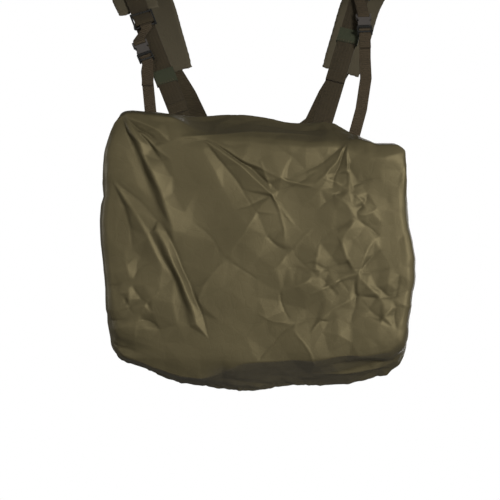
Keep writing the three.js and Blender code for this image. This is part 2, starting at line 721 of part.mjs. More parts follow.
function buildNarrow(side, s, lockAcross, lockFrame) {
  const size = buckleSize(NARROW);
  const centre = onChest(s.buckleX, s.buckle, HEIGHT.narrow);
  const run = NARROW_RUN;
  const above = onChest(s.buckleX, s.buckle + run.reach, HEIGHT.narrow);
  const below = onChest(s.buckleX, s.buckle - run.reach, HEIGHT.narrow);
  const rise = above.sub(below).normalize();
  const along = vec(-Math.sin(s.buckleTilt), 0, 0)
    .addScaledVector(rise, Math.cos(s.buckleTilt)).normalize();
  const across = acrossBody(along);
  const buckleFrame = frameAt(centre, across, along);
  buildBuckle(
    size, buckleFrame, "buckle_socket_" + side, "buckle_plug_" + side,
    (s.sign > 0 ? ["inner", "outer"] : ["outer", "inner"])
      .map((which) => "buckle_prong_" + which + "_" + side),
  );

  // The upper strap is one loop, sewn flat between the ladder lock's low bar and the socket's bar.
  const round = LOCK.bar + GAP + WEB / 2;
  const close = WEB / 2 + run.lap;
  const top = place(lockFrame, [
    [LOCK.low - run.lead, -close],
    ...turn(LOCK.low, 0, round, -Math.PI, -2 * Math.PI),
    [LOCK.low - run.lead, close],
  ]);
  const bottom = place(buckleFrame, [
    [size.topBar + run.lead, close],
    ...turn(size.topBar, 0, round, 0, -Math.PI),
    [size.topBar + run.lead, -close],
  ]);
  const loopAcross = (_, p) => {
    const share = (p.z - s.buckle - run.reach) / (s.lock - s.buckle - run.blend);
    return across.clone().lerp(lockAcross, THREE.MathUtils.clamp(share, 0, 1)).normalize();
  };
  add(
    "narrow_upper_" + side,
    band([...top, ...bottom], { across: loopAcross, width: NARROW, closed: true }),
    "webNarrow",
  );

  // The lower strap comes up behind the plug's bar, over it and down in front to its doubled end.
  const rest = s.narrow.map(([x, z], i) => onChest(x, z, NARROW_LIFTS[i]));
  const over = place(buckleFrame, [
    [size.wrapBar - run.wrapLead, -run.behind],
    ...turn(size.wrapBar, 0, round, -Math.PI, -2 * Math.PI),
    [size.wrapBar - run.wrapLead, run.front],
  ]);
  const endX = THREE.MathUtils.lerp(s.narrow[4][0], s.narrow[5][0], run.tailShare);
  const tail = [
    onChest(endX, s.narrowTailEnd + run.hemStart, s.narrowTailLift - run.hemRise),
    onChest(endX, s.narrowTailEnd + run.hem, s.narrowTailLift),
    onChest(endX, s.narrowTailEnd, s.narrowTailLift),
  ];
  const path = [...rest, ...over, ...tail];
  const thick = path.map((_, i) => (i >= path.length - 2 ? HEM_FOLD.thick : WEB));
  const acrossAll = acrossAt(over, across);
  add("narrow_lower_" + side, band(path, { across: acrossAll, width: NARROW, thick }), "webNarrow");
}

// ---------------------------------------------------------------- over the shoulder and down the back
function buildShoulder(side, s, lockFrame) {
  const wideX = (z) => s.wideX + s.wideSlope * (z - s.wideAt);
  const startZ = s.lock + PAD_START.above;
  const front = startZ < PAD_START.lowTop ? [[chestDepth(startZ), startZ, wideX(startZ)]] : [];
  const overX = [wideX(PAD_START.top), s.sign * SHOULDER.over, s.sign * SHOULDER.over];
  const passing = OVER_SHOULDER.map(([y, z], i) => {
    const x = i < 3 ? overX[i] : THREE.MathUtils.lerp(
      s.sign * SHOULDER.over, s.sign * PAD_BACK_X, (i - 2) / (OVER_SHOULDER.length - 3),
    );
    return [y, z, x];
  });
  const lower = startZ >= PAD_START.top ? passing.slice(1) : passing;
  const high = [[PAD_START.depth, PAD_START.height, wideX(PAD_START.height)]];
  const begin = startZ >= PAD_START.lowTop ? high : front;
  const surface = [...begin, ...lower].map(([y, z, x]) => vec(x, y, z));
  const curve = new THREE.CatmullRomCurve3(surface, false, "centripetal");
  const samples = curve.getPoints(PAD_SAMPLES);
  const thick = samples.map((_, i) =>
    SHOULDER.thick * Math.min(1, PAD_END.share + PAD_END.step * Math.min(i, PAD_SAMPLES - i)),
  );
  const run = tangents(samples, false);
  const across = run.map(acrossBody);
  const raise = (height) =>
    samples.map((p, i) =>
      p.clone().addScaledVector(across[i].clone().cross(run[i]), height(i)),
    );
  const middle = raise((i) => thick[i] / 2 + PAD_END.underlay);
  add("shoulder_pad_" + side, band(middle, { across, width: SHOULDER.width, thick }), "pad");

  // One webbing is sewn to the yoke and down the pad, and ends behind the ladder lock's top bar
  // and round its middle bar.
  const round = LOCK.bar + GAP + WEB / 2;
  const over = PAD_END.underlay + GAP + WEB / 2 + PAD_END.webbing;
  const onPad = raise((i) => thick[i] + over).reverse();
  const toLock = place(lockFrame, [
    [LOCK.top + LOCK_WAY.over, -round - LOCK_WAY.drop],
    [LOCK.top - LOCK_WAY.under, -round - LOCK_WAY.drop],
    [LOCK.mid + LOCK_WAY.before, round - LOCK_WAY.beforeIn],
    ...turn(LOCK.mid, 0, round, 0, Math.PI).map(([v, n]) => [2 * LOCK.mid - v, n]),
    [LOCK.mid + LOCK_WAY.after, -round],
  ]);
  const lockAcross = vec(1, 0, 0).transformDirection(lockFrame);
  const tip = onPad[0];
  const toYoke = BACK_RUN.map(([y, z], i) => {
    const share = (i + 1) / BACK_RUN.length;
    return vec(THREE.MathUtils.lerp(tip.x, s.sign * YOKE_STRAP_X, share), y, z);
  }).reverse();
  const acrossAll = [
    ...tangents([tip, ...toYoke.slice().reverse()], false).slice(1).map(acrossBody).reverse(),
    ...across.slice().reverse(),
    ...toLock.map(() => lockAcross),
  ];
  const ribbon = band([...toYoke, ...onPad, ...toLock], { across: acrossAll, width: WIDE });
  add("pad_webbing_" + side, ribbon, "webWide");
}

function buildYoke() {
  const yoke = plate({
    left: -YOKE.halfWidth, right: YOKE.halfWidth, low: YOKE.low, high: YOKE.high,
    radius: YOKE.radius, front: YOKE.front, back: YOKE.front + YOKE.thick,
  });
  add("back_yoke", yoke, "pad");
}

// ---------------------------------------------------------------- the side straps
function buildSideStrap(side, sign) {
  const flip = ([x, y, z]) => vec(sign * x, y, z);
  const size = buckleSize(WIDE);
  const start = flip(SIDE_FRONT[SIDE_FRONT.length - 1]);
  const end = flip(SIDE_REAR[0]);
  const along = end.clone().sub(start).normalize();
  const outward = vec(sign * along.y, -sign * along.x, 0);
  const across = along.clone().cross(outward);
  const centre = vec(sign * SIDE_BUCKLE.x, SIDE_BUCKLE.y, start.z);
  const frame = frameAt(centre, across, along);
  buildBuckle(
    size, frame, "side_socket_" + side, "side_plug_" + side,
    ["side_prong_low_" + side, "side_prong_high_" + side],
  );
  const round = size.bar + GAP + WEB / 2;
  const front = [
    ...SIDE_FRONT.slice(0, -1).map(flip),
    ...place(frame, [
      [size.wrapBar - SIDE_WRAP.far, -round],
      ...turn(size.wrapBar, 0, round, -Math.PI, -2 * Math.PI),
      [size.wrapBar - SIDE_WRAP.near, SIDE_WRAP.height],
      [size.wrapBar - SIDE_WRAP.far, SIDE_WRAP.height],
    ]),
  ];
  const turned = (sign > 0) ? vec(0, 0, -1) : vec(0, 0, 1);
  add("side_strap_front_" + side, band(front, { across: turned, width: WIDE }), "webWide");

  const sideways = (tangent) => {
    const out = vec(sign * tangent.y, -sign * tangent.x, 0).normalize();
    return tangent.clone().cross(out).normalize();
  };
  const wrap = place(frame, [
    [size.topBar + SIDE_WRAP.far, round], ...turn(size.topBar, 0, round, 0, -Math.PI),
    [size.topBar + SIDE_WRAP.back, -round],
  ]);
  const rear = new THREE.CatmullRomCurve3(
    [...SIDE_REAR, SIDE_SEWN_IN].map(flip), false, "centripetal",
  ).getPoints(SIDE_SAMPLES);
  const acrossRear = (tangent, p) =>
    (wrap.some((q) => q.distanceTo(p) < 1e-6) ? across : sideways(tangent));
  add(
    "side_strap_rear_" + side,
    band([...wrap, ...rear], { across: acrossRear, width: WIDE }),
    "webWide",
  );
}

buildPack();
buildPockets();
buildLoopBands();
buildCover();
for (const [side, s] of Object.entries(SIDES)) {
  const lockFrame = buildFront(side, s);
  buildShoulder(side, s, lockFrame);
  buildSideStrap(side, s.sign);
}
buildYoke();

export default part;
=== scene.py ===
import json
import math

import bmesh
import bpy
import numpy as np
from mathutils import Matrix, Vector
from mathutils.bvhtree import BVHTree
from mathutils.geometry import delaunay_2d_cdt


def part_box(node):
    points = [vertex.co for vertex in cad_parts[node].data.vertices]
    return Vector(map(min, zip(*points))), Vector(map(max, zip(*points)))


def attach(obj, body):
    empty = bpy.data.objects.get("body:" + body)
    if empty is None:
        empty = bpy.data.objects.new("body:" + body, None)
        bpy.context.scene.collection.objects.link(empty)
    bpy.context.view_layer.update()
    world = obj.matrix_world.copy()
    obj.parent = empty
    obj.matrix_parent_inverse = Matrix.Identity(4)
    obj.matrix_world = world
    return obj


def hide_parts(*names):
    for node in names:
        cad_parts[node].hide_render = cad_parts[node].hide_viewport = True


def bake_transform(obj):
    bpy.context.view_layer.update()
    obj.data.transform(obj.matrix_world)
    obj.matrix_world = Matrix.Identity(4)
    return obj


MM = 0.001
SEED = 11
STITCH = 2.6
THREAD_LIFT = 0.15

# --- camera
camera_data = bpy.data.cameras.new("camera")
camera_data.lens = 100
camera_data.sensor_width = 36
camera = bpy.data.objects.new("camera", camera_data)
camera.location = (-0.0104, -1.786, 0.0074)
camera.rotation_euler = (math.radians(90), 0, 0)
bpy.context.scene.collection.objects.link(camera)
bpy.context.scene.camera = camera

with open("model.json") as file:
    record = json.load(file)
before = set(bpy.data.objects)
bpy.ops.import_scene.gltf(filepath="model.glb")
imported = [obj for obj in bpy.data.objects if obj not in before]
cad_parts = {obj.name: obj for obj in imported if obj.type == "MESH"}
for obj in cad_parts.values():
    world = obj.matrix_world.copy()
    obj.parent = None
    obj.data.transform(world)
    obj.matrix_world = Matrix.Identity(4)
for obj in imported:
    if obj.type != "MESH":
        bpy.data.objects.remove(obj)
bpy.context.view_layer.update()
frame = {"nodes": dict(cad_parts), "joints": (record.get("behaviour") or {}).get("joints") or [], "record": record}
nodes = frame["nodes"]


# --- shared mesh helpers
def add_object(name, mesh):
    obj = bpy.data.objects.new(name, mesh)
    bpy.context.scene.collection.objects.link(obj)
    return obj


def smoothed(mesh):
    mesh.polygons.foreach_set("use_smooth", [True] * len(mesh.polygons))


def from_arrays(name, points, faces):
    """A mesh object from points in millimetres."""
    mesh = bpy.data.meshes.new(name)
    mesh.from_pydata([tuple(p) for p in np.asarray(points, float) * MM], [], faces)
    mesh.update()
    smoothed(mesh)
    return add_object(name, mesh)


def points_of(obj):
    """An object's vertices as an array, in millimetres."""
    flat = np.zeros(len(obj.data.vertices) * 3)
    obj.data.vertices.foreach_get("co", flat)
    return flat.reshape(-1, 3) / MM


def box_mm(node):
    low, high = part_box(node)
    return np.array(low) / MM, np.array(high) / MM


def unit(vector):
    return np.asarray(vector, float) / np.linalg.norm(vector)


def smoothstep(t):
    t = np.clip(t, 0, 1)
    return t * t * (3 - 2 * t)


# --- materials
def node_material(name):
    made = bpy.data.materials.new(name)
    made.use_nodes = True
    tree = made.node_tree
    shader = tree.nodes["Principled BSDF"]
    return made, tree, shader


def link(tree, source, target):
    tree.links.new(source, target)


def coordinates(tree, turn=(0, 0, 0)):
    where = tree.nodes.new("ShaderNodeTexCoord")
    mapping = tree.nodes.new("ShaderNodeMapping")
    mapping.inputs["Rotation"].default_value = turn
    link(tree, where.outputs["Object"], mapping.inputs["Vector"])
    return mapping.outputs["Vector"]


def noise_node(tree, vector, scale, detail=3.0, roughness=0.55):
    made = tree.nodes.new("ShaderNodeTexNoise")
    made.inputs["Scale"].default_value = scale
    made.inputs["Detail"].default_value = detail
    made.inputs["Roughness"].default_value = roughness
    link(tree, vector, made.inputs["Vector"])
    return made.outputs["Fac"]


def band_node(tree, vector, axis, pitch, distortion=0.3):
    """Bands across an axis, one every pitch metres."""
    made = tree.nodes.new("ShaderNodeTexWave")
    made.bands_direction = axis
    made.inputs["Scale"].default_value = 0.314 / pitch
    made.inputs["Distortion"].default_value = distortion
    made.inputs["Detail"].default_value = 1
    link(tree, vector, made.inputs["Vector"])
    return made.outputs["Fac"]


def maths(tree, operation, a, b):
    made = tree.nodes.new("ShaderNodeMath")
    made.operation = operation
    for socket, value in zip(made.inputs, (a, b)):
        if isinstance(value, (int, float)):
            socket.default_value = value
        else:
            link(tree, value, socket)
    return made.outputs[0]


def mixed_colour(tree, factor, first, second):
    made = tree.nodes.new("ShaderNodeMix")
    made.data_type = "RGBA"
    made.clamp_factor = True
    if isinstance(factor, (int, float)):
        made.inputs[0].default_value = factor
    else:
        link(tree, factor, made.inputs[0])
    for socket, value in ((made.inputs[6], first), (made.inputs[7], second)):
        if isinstance(value, (tuple, list)):
            socket.default_value = (*value, 1)
        else:
            link(tree, value, socket)
    return made.outputs[2]


def bump_node(tree, height, distance, strength=1.0, normal=None):
    made = tree.nodes.new("ShaderNodeBump")
    made.inputs["Distance"].default_value = distance
    made.inputs["Strength"].default_value = strength
    link(tree, height, made.inputs["Height"])
    if normal is not None:
        link(tree, normal, made.inputs["Normal"])
    return made.outputs["Normal"]


def shade(colour, share):
    return tuple(min(1.0, c * share) for c in colour)


def set_roughness(tree, shader, mask, gain, base):
    rough = maths(tree, "ADD", maths(tree, "MULTIPLY", mask, gain), base)
    link(tree, rough, shader.inputs["Roughness"])


def layered(tree, base, mask, weight, over):
    """The base colour with another over it where the mask is strong."""
    return mixed_colour(tree, maths(tree, "MULTIPLY", mask, weight), base, over)


def fabric(name, colour, pitch=0.0009, turn=(0, 0, 0), roughness=0.75, weave=0.00025, sheen=0.02,
           ribs=None, patch=28, contrast=0.16, wrinkle=0.0, stripe=None):
    """Woven cloth: threads both ways, slow and fine colour variation, and worn lighter threads."""
    made, tree, shader = node_material(name)
    vector = coordinates(tree, turn)
    warp = band_node(tree, vector, "X", pitch)
    weft = band_node(tree, vector, "Z", ribs or pitch)
    threads = maths(tree, "MULTIPLY", maths(tree, "ADD", warp, 0.35), maths(tree, "ADD", weft, 0.35))
    slow = noise_node(tree, vector, patch)
    fine = noise_node(tree, vector, 1400, 2)
    base = mixed_colour(tree, slow, shade(colour, 1 - contrast), shade(colour, 1 + contrast))
    base = layered(tree, base, threads, 0.38, shade(colour, 1.6))
    if stripe:
        band = band_node(tree, vector, "X", stripe, 0)
        base = layered(tree, base, band, 0.25, shade(colour, 0.55))
    base = layered(tree, base, fine, 0.18, shade(colour, 0.45))
    link(tree, base, shader.inputs["Base Color"])
    height = maths(tree, "ADD", threads, maths(tree, "MULTIPLY", fine, 0.4))
    normal = None
    if wrinkle:
        normal = bump_node(tree, noise_node(tree, vector, 55, 5, 0.6), wrinkle)
    link(tree, bump_node(tree, height, weave, 0.8, normal), shader.inputs["Normal"])
    set_roughness(tree, shader, slow, 0.14, roughness - 0.07)
    shader.inputs["Sheen Weight"].default_value = sheen
    shader.inputs["Specular IOR Level"].default_value = 0.14
    return made


def coated_nylon(name, colour):
    """The cover's cloth: a fine plain weave under a thin coating, paler along its worn folds, with painted shade
    in the hollows of its creases.
    """
    made, tree, shader = node_material(name)
    vector = coordinates(tree)
    fold = tree.nodes.new("ShaderNodeAttribute")
    fold.attribute_name = "fold"
    crest = fold.outputs["Fac"]
    slow = noise_node(tree, vector, 16, 4)
    blotch = noise_node(tree, vector, 70, 5, 0.6)
    fine = noise_node(tree, vector, 1600, 2)
    base = mixed_colour(tree, slow, shade(colour, 0.86), shade(colour, 1.14))
    base = layered(tree, base, blotch, 0.28, shade(colour, 0.74))
    worn = maths(tree, "MAXIMUM", crest, 0)
    base = layered(tree, base, worn, 0.35, shade(colour, 1.55))
    # Painted shade: the cloth is darkened where it lies below the cloth round it, in the hollows of the creases.
    crease_shade = maths(tree, "MAXIMUM", maths(tree, "MULTIPLY", crest, -1), 0)
    base = layered(tree, base, crease_shade, 0.45, shade(colour, 0.5))
    base = layered(tree, base, fine, 0.10, shade(colour, 0.6))
    link(tree, base, shader.inputs["Base Color"])
    warp = band_node(tree, vector, "X", 0.0008)
    weft = band_node(tree, vector, "Z", 0.0008)
    threads = maths(tree, "ADD", maths(tree, "MULTIPLY", warp, weft), maths(tree, "MULTIPLY", fine, 0.5))
    creasing = tree.nodes.new("ShaderNodeTexVoronoi")
    creasing.feature = "DISTANCE_TO_EDGE"
    creasing.inputs["Scale"].default_value = 62
    warped = tree.nodes.new("ShaderNodeVectorMath")
    warped.operation = "ADD"
    shift = tree.nodes.new("ShaderNodeTexNoise")
    shift.inputs["Scale"].default_value = 24
    scaled = tree.nodes.new("ShaderNodeVectorMath")
    scaled.operation = "SCALE"
    scaled.inputs["Scale"].default_value = 0.03
    link(tree, vector, shift.inputs["Vector"])
    link(tree, shift.outputs["Color"], scaled.inputs[0])
    link(tree, vector, warped.inputs[0])
    link(tree, scaled.outputs[0], warped.inputs[1])
    link(tree, warped.outputs[0], creasing.inputs["Vector"])
    folds = bump_node(tree, maths(tree, "MINIMUM", creasing.outputs["Distance"], 0.10), 0.0022, 0.22)
    crumple = bump_node(tree, noise_node(tree, vector, 75, 3, 0.5), 0.0007, 0.4, folds)
    link(tree, bump_node(tree, threads, 0.00012, 0.5, crumple), shader.inputs["Normal"])
    set_roughness(tree, shader, blotch, 0.16, 0.40)
    shader.inputs["Specular IOR Level"].default_value = 0.4
    shader.inputs["Specular Tint"].default_value = (0.80, 0.66, 0.36, 1)
    return made


def plastic(name, colour, roughness=0.38, scuff=0.25):
    """Moulded acetal: a faint grain, and dull scuffs over the gloss."""
    made, tree, shader = node_material(name)
    vector = coordinates(tree)
    grain = noise_node(tree, vector, 2600, 2)
    scuffs = noise_node(tree, vector, 320, 5, 0.7)
    slow = noise_node(tree, vector, 90)
    base = mixed_colour(tree, slow, shade(colour, 0.85), shade(colour, 1.2))
    base = mixed_colour(tree, maths(tree, "MULTIPLY", scuffs, scuff), base, shade(colour, 2.2))
    link(tree, base, shader.inputs["Base Color"])
    set_roughness(tree, shader, scuffs, 0.3, roughness - 0.15)
    link(tree, bump_node(tree, grain, 0.00006, 0.5), shader.inputs["Normal"])
    return made


def metal(name, colour):
    """Dull plated zinc with fine rubbed lines."""
    made, tree, shader = node_material(name)
    vector = coordinates(tree)
    lines = band_node(tree, vector, "Z", 0.0006, 6)
    patchy = noise_node(tree, vector, 400, 4)
    base = mixed_colour(tree, patchy, shade(colour, 0.7), shade(colour, 1.15))
    link(tree, base, shader.inputs["Base Color"])
    shader.inputs["Metallic"].default_value = 1
    set_roughness(tree, shader, lines, 0.12, 0.34)
    link(tree, bump_node(tree, lines, 0.00005, 0.4), shader.inputs["Normal"])
    return made


def mesh_fabric(name, colour):
    """Knitted spacer mesh: rows of round open cells, with painted shade dark in the cells' hollows and paler on
    the rims between them.
    """
    made, tree, shader = node_material(name)
    vector = coordinates(tree)
    cells = tree.nodes.new("ShaderNodeTexVoronoi")
    cells.inputs["Scale"].default_value = 340
    cells.inputs["Randomness"].default_value = 0.18
    link(tree, vector, cells.inputs["Vector"])
    slow = noise_node(tree, vector, 22)
    # Painted shade: dark deep in each open cell, paler towards the rims between the cells.
    cell_shade = maths(tree, "MULTIPLY", cells.outputs["Distance"], 1.5)
    base = mixed_colour(tree, cell_shade, shade(colour, 0.3), shade(colour, 1.5))
    base = layered(tree, base, slow, 0.3, shade(colour, 0.7))
    link(tree, base, shader.inputs["Base Color"])
    link(tree, bump_node(tree, cells.outputs["Distance"], 0.0012, 0.9), shader.inputs["Normal"])
    shader.inputs["Roughness"].default_value = 0.85
    shader.inputs["Sheen Weight"].default_value = 0.3
    return made


def base_colour(slot):
    found = [m for m in frame["record"]["materials"] if m["slot"] == slot]
    return tuple(found[0]["base_color"])


COVER_CLOTH = coated_nylon("cover_cloth", shade(base_colour("rain_cover_fabric"), 0.5))
HEM_CLOTH = fabric("hem_cloth", base_colour("cover_hem_fabric"), 0.0008, wrinkle=0.001)
PACK_CLOTH = fabric("pack_cloth", base_colour("pack_fabric"), 0.0011, wrinkle=0.0008)
PAD_CLOTH = fabric("pad_cloth", base_colour("pad_fabric"), 0.0011, wrinkle=0.0012)
BINDING = fabric("binding_tape", shade(base_colour("wide_webbing"), 0.9), 0.0012, ribs=0.0018)
ELASTIC = fabric("elastic_band", base_colour("elastic"), 0.0011, ribs=0.0016)
THREAD = fabric("thread", shade(base_colour("narrow_webbing"), 1.5), 0.0004)
SPACER = mesh_fabric("spacer_knit", base_colour("spacer_mesh"))
ZIP_CLOTH = fabric("zip_cloth", base_colour("zip_tape"), 0.0009)
ZIP_METAL = metal("zip_alloy", base_colour("zip_metal"))
ACETAL = plastic("acetal", base_colour("black_acetal"), 0.30)
SHELL = plastic("buckle_moulding", base_colour("buckle_shell"), 0.42)


def finish_piece(obj, material, body):
    obj.data.materials.clear()
    obj.data.materials.append(material)
    if body is not None:
        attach(obj, body)
    return obj


# --- the cover
# Folds in the cover's front. Places are shares of its half width and half height from the middle.
# Pinches: place, arms, arm length in millimetres, height.
PINCHES = (
    ((0.60, -0.15), 7, 62, 2.3), ((0.35, -0.15), 5, 45, 1.9), ((0.20, -0.50), 5, 62, 2.1),
    ((0.60, -0.30), 5, 70, 1.9), ((0.85, -0.35), 5, 36, 2.0), ((0.60, 0.25), 6, 42, 1.8),
    ((-0.80, -0.20), 5, 34, 1.5), ((-0.75, -0.45), 5, 40, 1.7), ((0.55, 0.45), 5, 46, 1.7),
    ((0.10, 0.40), 4, 60, 1.5), ((0.20, 0.00), 4, 54, 1.5), ((-0.20, -0.05), 4, 66, 1.0),
)
# Fans: root, first and last way in degrees, folds, length in millimetres, height.
FANS = (
    ((-0.85, 0.95), -64, -28, 6, 78, 2.6), ((-0.35, 0.80), -54, -24, 4, 150, 3.0),
    ((0.55, 0.75), -150, -85, 4, 84, 2.6), ((-0.90, 0.50), -74, -46, 3, 120, 2.0),
)
# Long folds: kind, height, reach, ends, and how far the middle bows out in millimetres.
LONG_FOLDS = (
    ("step", 7, 9, (-0.85, 0.95), (-0.55, 0.15), 4), ("step", 6, 8, (-0.65, 0.15), (-0.40, -0.50), 4),
    ("valley", 2.5, 7, (-0.55, 0.10), (-0.30, -0.60), 3), ("ridge", 2.5, 8, (-0.50, 0.80), (0.40, 0.82), 2),
    ("valley", 6, 9, (0.45, -0.80), (0.85, -0.82), 2), ("ridge", 3, 8, (0.45, -0.86), (0.85, -0.88), 2),
)

# A fold from a root: where it starts, its reach sideways, and how its length, height and bend vary.
RAY_START = 6
RAY_REACH = 6
RAY_LENGTHS = (0.65, 1.1)
RAY_HEIGHTS = (0.7, 1.1)
RAY_BEND = 0.08


def spot(share):
    """A place on the cover's front, in millimetres, from its share of the half width and half height."""
    low, high = box_mm("rain_cover")
    middle, half = 0.5 * (low + high), 0.5 * (high - low)
    return np.array([middle[0] + share[0] * half[0], middle[2] + share[1] * half[2]])


def bowed(start, end, bow, count=5):
    """Points along a fold from start to end whose middle bows out."""
    along = end - start
    side = np.array([-along[1], along[0]]) / np.linalg.norm(along)
    shares = np.linspace(0, 1, count)
    return [tuple(start + along * t + side * bow * math.sin(math.pi * t)) for t in shares]


def rays(root, ways, length, tall, draw):
    """Folds that run out from one place, ridge and valley by turns."""
    folds = []
    for turn, way in enumerate(ways):
        run = length * draw.uniform(*RAY_LENGTHS)
        ahead = np.array([math.cos(way), math.sin(way)])
        height = tall * draw.uniform(*RAY_HEIGHTS)
        bend = draw.uniform(-RAY_BEND, RAY_BEND) * run
        points = bowed(root + RAY_START * ahead, root + run * ahead, bend, 4)
        folds.append(("ridge" if turn % 2 else "valley", height, RAY_REACH, *points))
    return folds


def cover_creases():
    """Every fold in the front: long folds, fans, and pinches with folds all round."""
    draw = np.random.default_rng(SEED + 1)
    folds = [(kind, tall, reach, *bowed(spot(start), spot(end), bow))
             for kind, tall, reach, start, end, bow in LONG_FOLDS]
    for root, first, last, count, length, tall in FANS:
        folds += rays(spot(root), np.radians(np.linspace(first, last, count)), length, tall, draw)
    for place, arms, length, tall in PINCHES:
        first = draw.uniform(0, math.pi)
        ways = first + 2 * math.pi * (np.arange(arms) + draw.uniform(-0.25, 0.25, arms)) / arms
        folds += rays(spot(place), ways, length, tall, draw)
    return folds


CREASES = cover_creases()
RINGS = 200
HEM_SHARE = 0.965
# Rows of the profile between which the underside slopes, and the row that was the widest.
SLOPE_FROM = 4
SLOPE_TO = 8
SLOPE_WIDEST = 7
# The cloth squares up over the front's edge: share of the depth it takes off, and how deep that reaches.
EDGE_PUSH = 0.6
EDGE_DEPTH = 24.0
# The map of flat facets: half its width, its cell and how often it is blurred.
MAP_HALF = 380.0
MAP_CELL = 0.75
MAP_BLUR = 3
# How far back the face bends: along the bottom, at the corners, and where the slope behind the bend ends.
BEND = 16.0
CORNER_BEND = 60.0
SLOPE_END = 90.0
BEND_SHARE = 0.85
# The folds are read off the map with the sides unrolled from this depth on.
UNROLL_FROM = -75
# Small creases stand a little taller than listed, by up to this.
SMALL_LIFT = 0.9
# The thin line along a crease: its least height, what the crease's height adds, and half its width.
LINE_BASE = 0.16
LINE_GAIN = 0.17
LINE_MOST = 2.2
LINE_WIDTH = 1.5
# The share of the way from the middle to the hem where the pleats begin, and their height.
PLEAT_FROM = 0.82
PLEAT_HEIGHT = 3.2
# Depths, behind the front, at which the CAD cover's outside is read.
PROFILE_RISES = (1.6, 4.5, 11.5, 20, 29.5, 44, 58, 72.5, 90)
# Loose corners between the creases: how many places are tried, and their height in front and on the sides.
LOOSE_TRIES = 9000
LOOSE_FRONT = 0.8
LOOSE_SIDE = 1.6


def ripple(x, z, wave, count, draw):
    """Smooth unevenness of about one unit, wave millimetres long."""
    total = np.zeros_like(x)
    for _ in range(count):
        way, length, phase = draw.uniform(0, 2 * math.pi), wave * draw.uniform(0.7, 1.5), draw.uniform(0, 7)
        total += np.sin(2 * math.pi * (x * math.cos(way) + z * math.sin(way)) / length + phase)
    return total / math.sqrt(count / 2)


def line_distance(x, z, points):
    """Distance to a run of points, and how far along it the nearest place is."""
    points = np.asarray(points, float)
    steps = np.diff(points, axis=0)
    lengths = np.hypot(*steps.T)
    before = np.concatenate([[0], np.cumsum(lengths)])
    near, along = np.full(x.shape, 1e9), np.zeros(x.shape)
    for (px, pz), (dx, dz), length, start in zip(points, steps, lengths, before):
        t = np.clip(((x - px) * dx + (z - pz) * dz) / length**2, 0, 1)
        gap = np.hypot(x - px - t * dx, z - pz - t * dz)
        closer = gap < near
        near = np.where(closer, gap, near)
        along = np.where(closer, (start + t * length) / before[-1], along)
    return near, along


def crease_line(x, z, kind, height, points):
    """The thin raised or sunken line along a crease, which fades out at its ends."""
    if kind == "step":
        return 0
    near, along = line_distance(x, z, points)
    fade = smoothstep(along / 0.15) * smoothstep((1 - along) / 0.15)
    depth = fade * (LINE_BASE + LINE_GAIN * min(height, LINE_MOST)) * np.exp(-((near / LINE_WIDTH) ** 2))
    return depth if kind == "ridge" else -depth


def blurred(field, times=1):
    for _ in range(times):
        wide = np.pad(field, 1, mode="edge")
        field = (4 * field + wide[:-2, 1:-1] + wide[2:, 1:-1] + wide[1:-1, :-2] + wide[1:-1, 2:]) / 8
    return field


def folded_runs():
    """Each crease as runs of corners (across, up, height): one run along its line, two for a step."""
    runs = []
    for kind, tall, reach, *points in CREASES:
        points = np.asarray(points, float)
        arch = 0.4 + 0.6 * np.sin(np.linspace(0, math.pi, len(points)))
        rise = (tall + SMALL_LIFT * math.exp(-tall)) * arch
        if kind != "step":
            runs.append(np.column_stack([points, rise if kind == "ridge" else -rise]))
            continue
        ahead = np.gradient(points, axis=0)
        left = np.column_stack([-ahead[:, 1], ahead[:, 0]])
        left /= np.linalg.norm(ahead, axis=1, keepdims=True)
        runs.append(np.column_stack([points + left * reach / 2, rise]))
        runs.append(np.column_stack([points - left * reach / 2, -0.3 * rise]))
    return runs


def loose_corners(taken, draw):
    """Corners between the creases: close together where the cloth is crumpled, far apart elsewhere."""
    spots = draw.uniform(-MAP_HALF, MAP_HALF, (LOOSE_TRIES, 2))
    smooth = np.exp(-(((spots[:, 0] + 20) / 85) ** 2) - ((spots[:, 1] + 5) / 80) ** 2)
    apart = 15 + 30 * smooth
    kept = np.empty((0, 2))
    heights = []
    for spot, gap in zip(spots, apart):
        if np.hypot(*(taken - spot).T).min() < 0.5 * gap:
            continue
        if len(kept) and np.hypot(*(kept - spot).T).min() < gap:
            continue
        kept = np.vstack([kept, spot])
        on_side = smoothstep((np.abs(spot).max() - 165) / 50)
        calm = 1 - 0.6 * np.clip((gap - 15) / 30, 0, 1)
        bulge = draw.normal()
        bulge += (abs(bulge) - bulge) * on_side
        heights.append(bulge * calm * (LOOSE_FRONT + (LOOSE_SIDE - LOOSE_FRONT) * on_side))
    return np.column_stack([kept, heights])


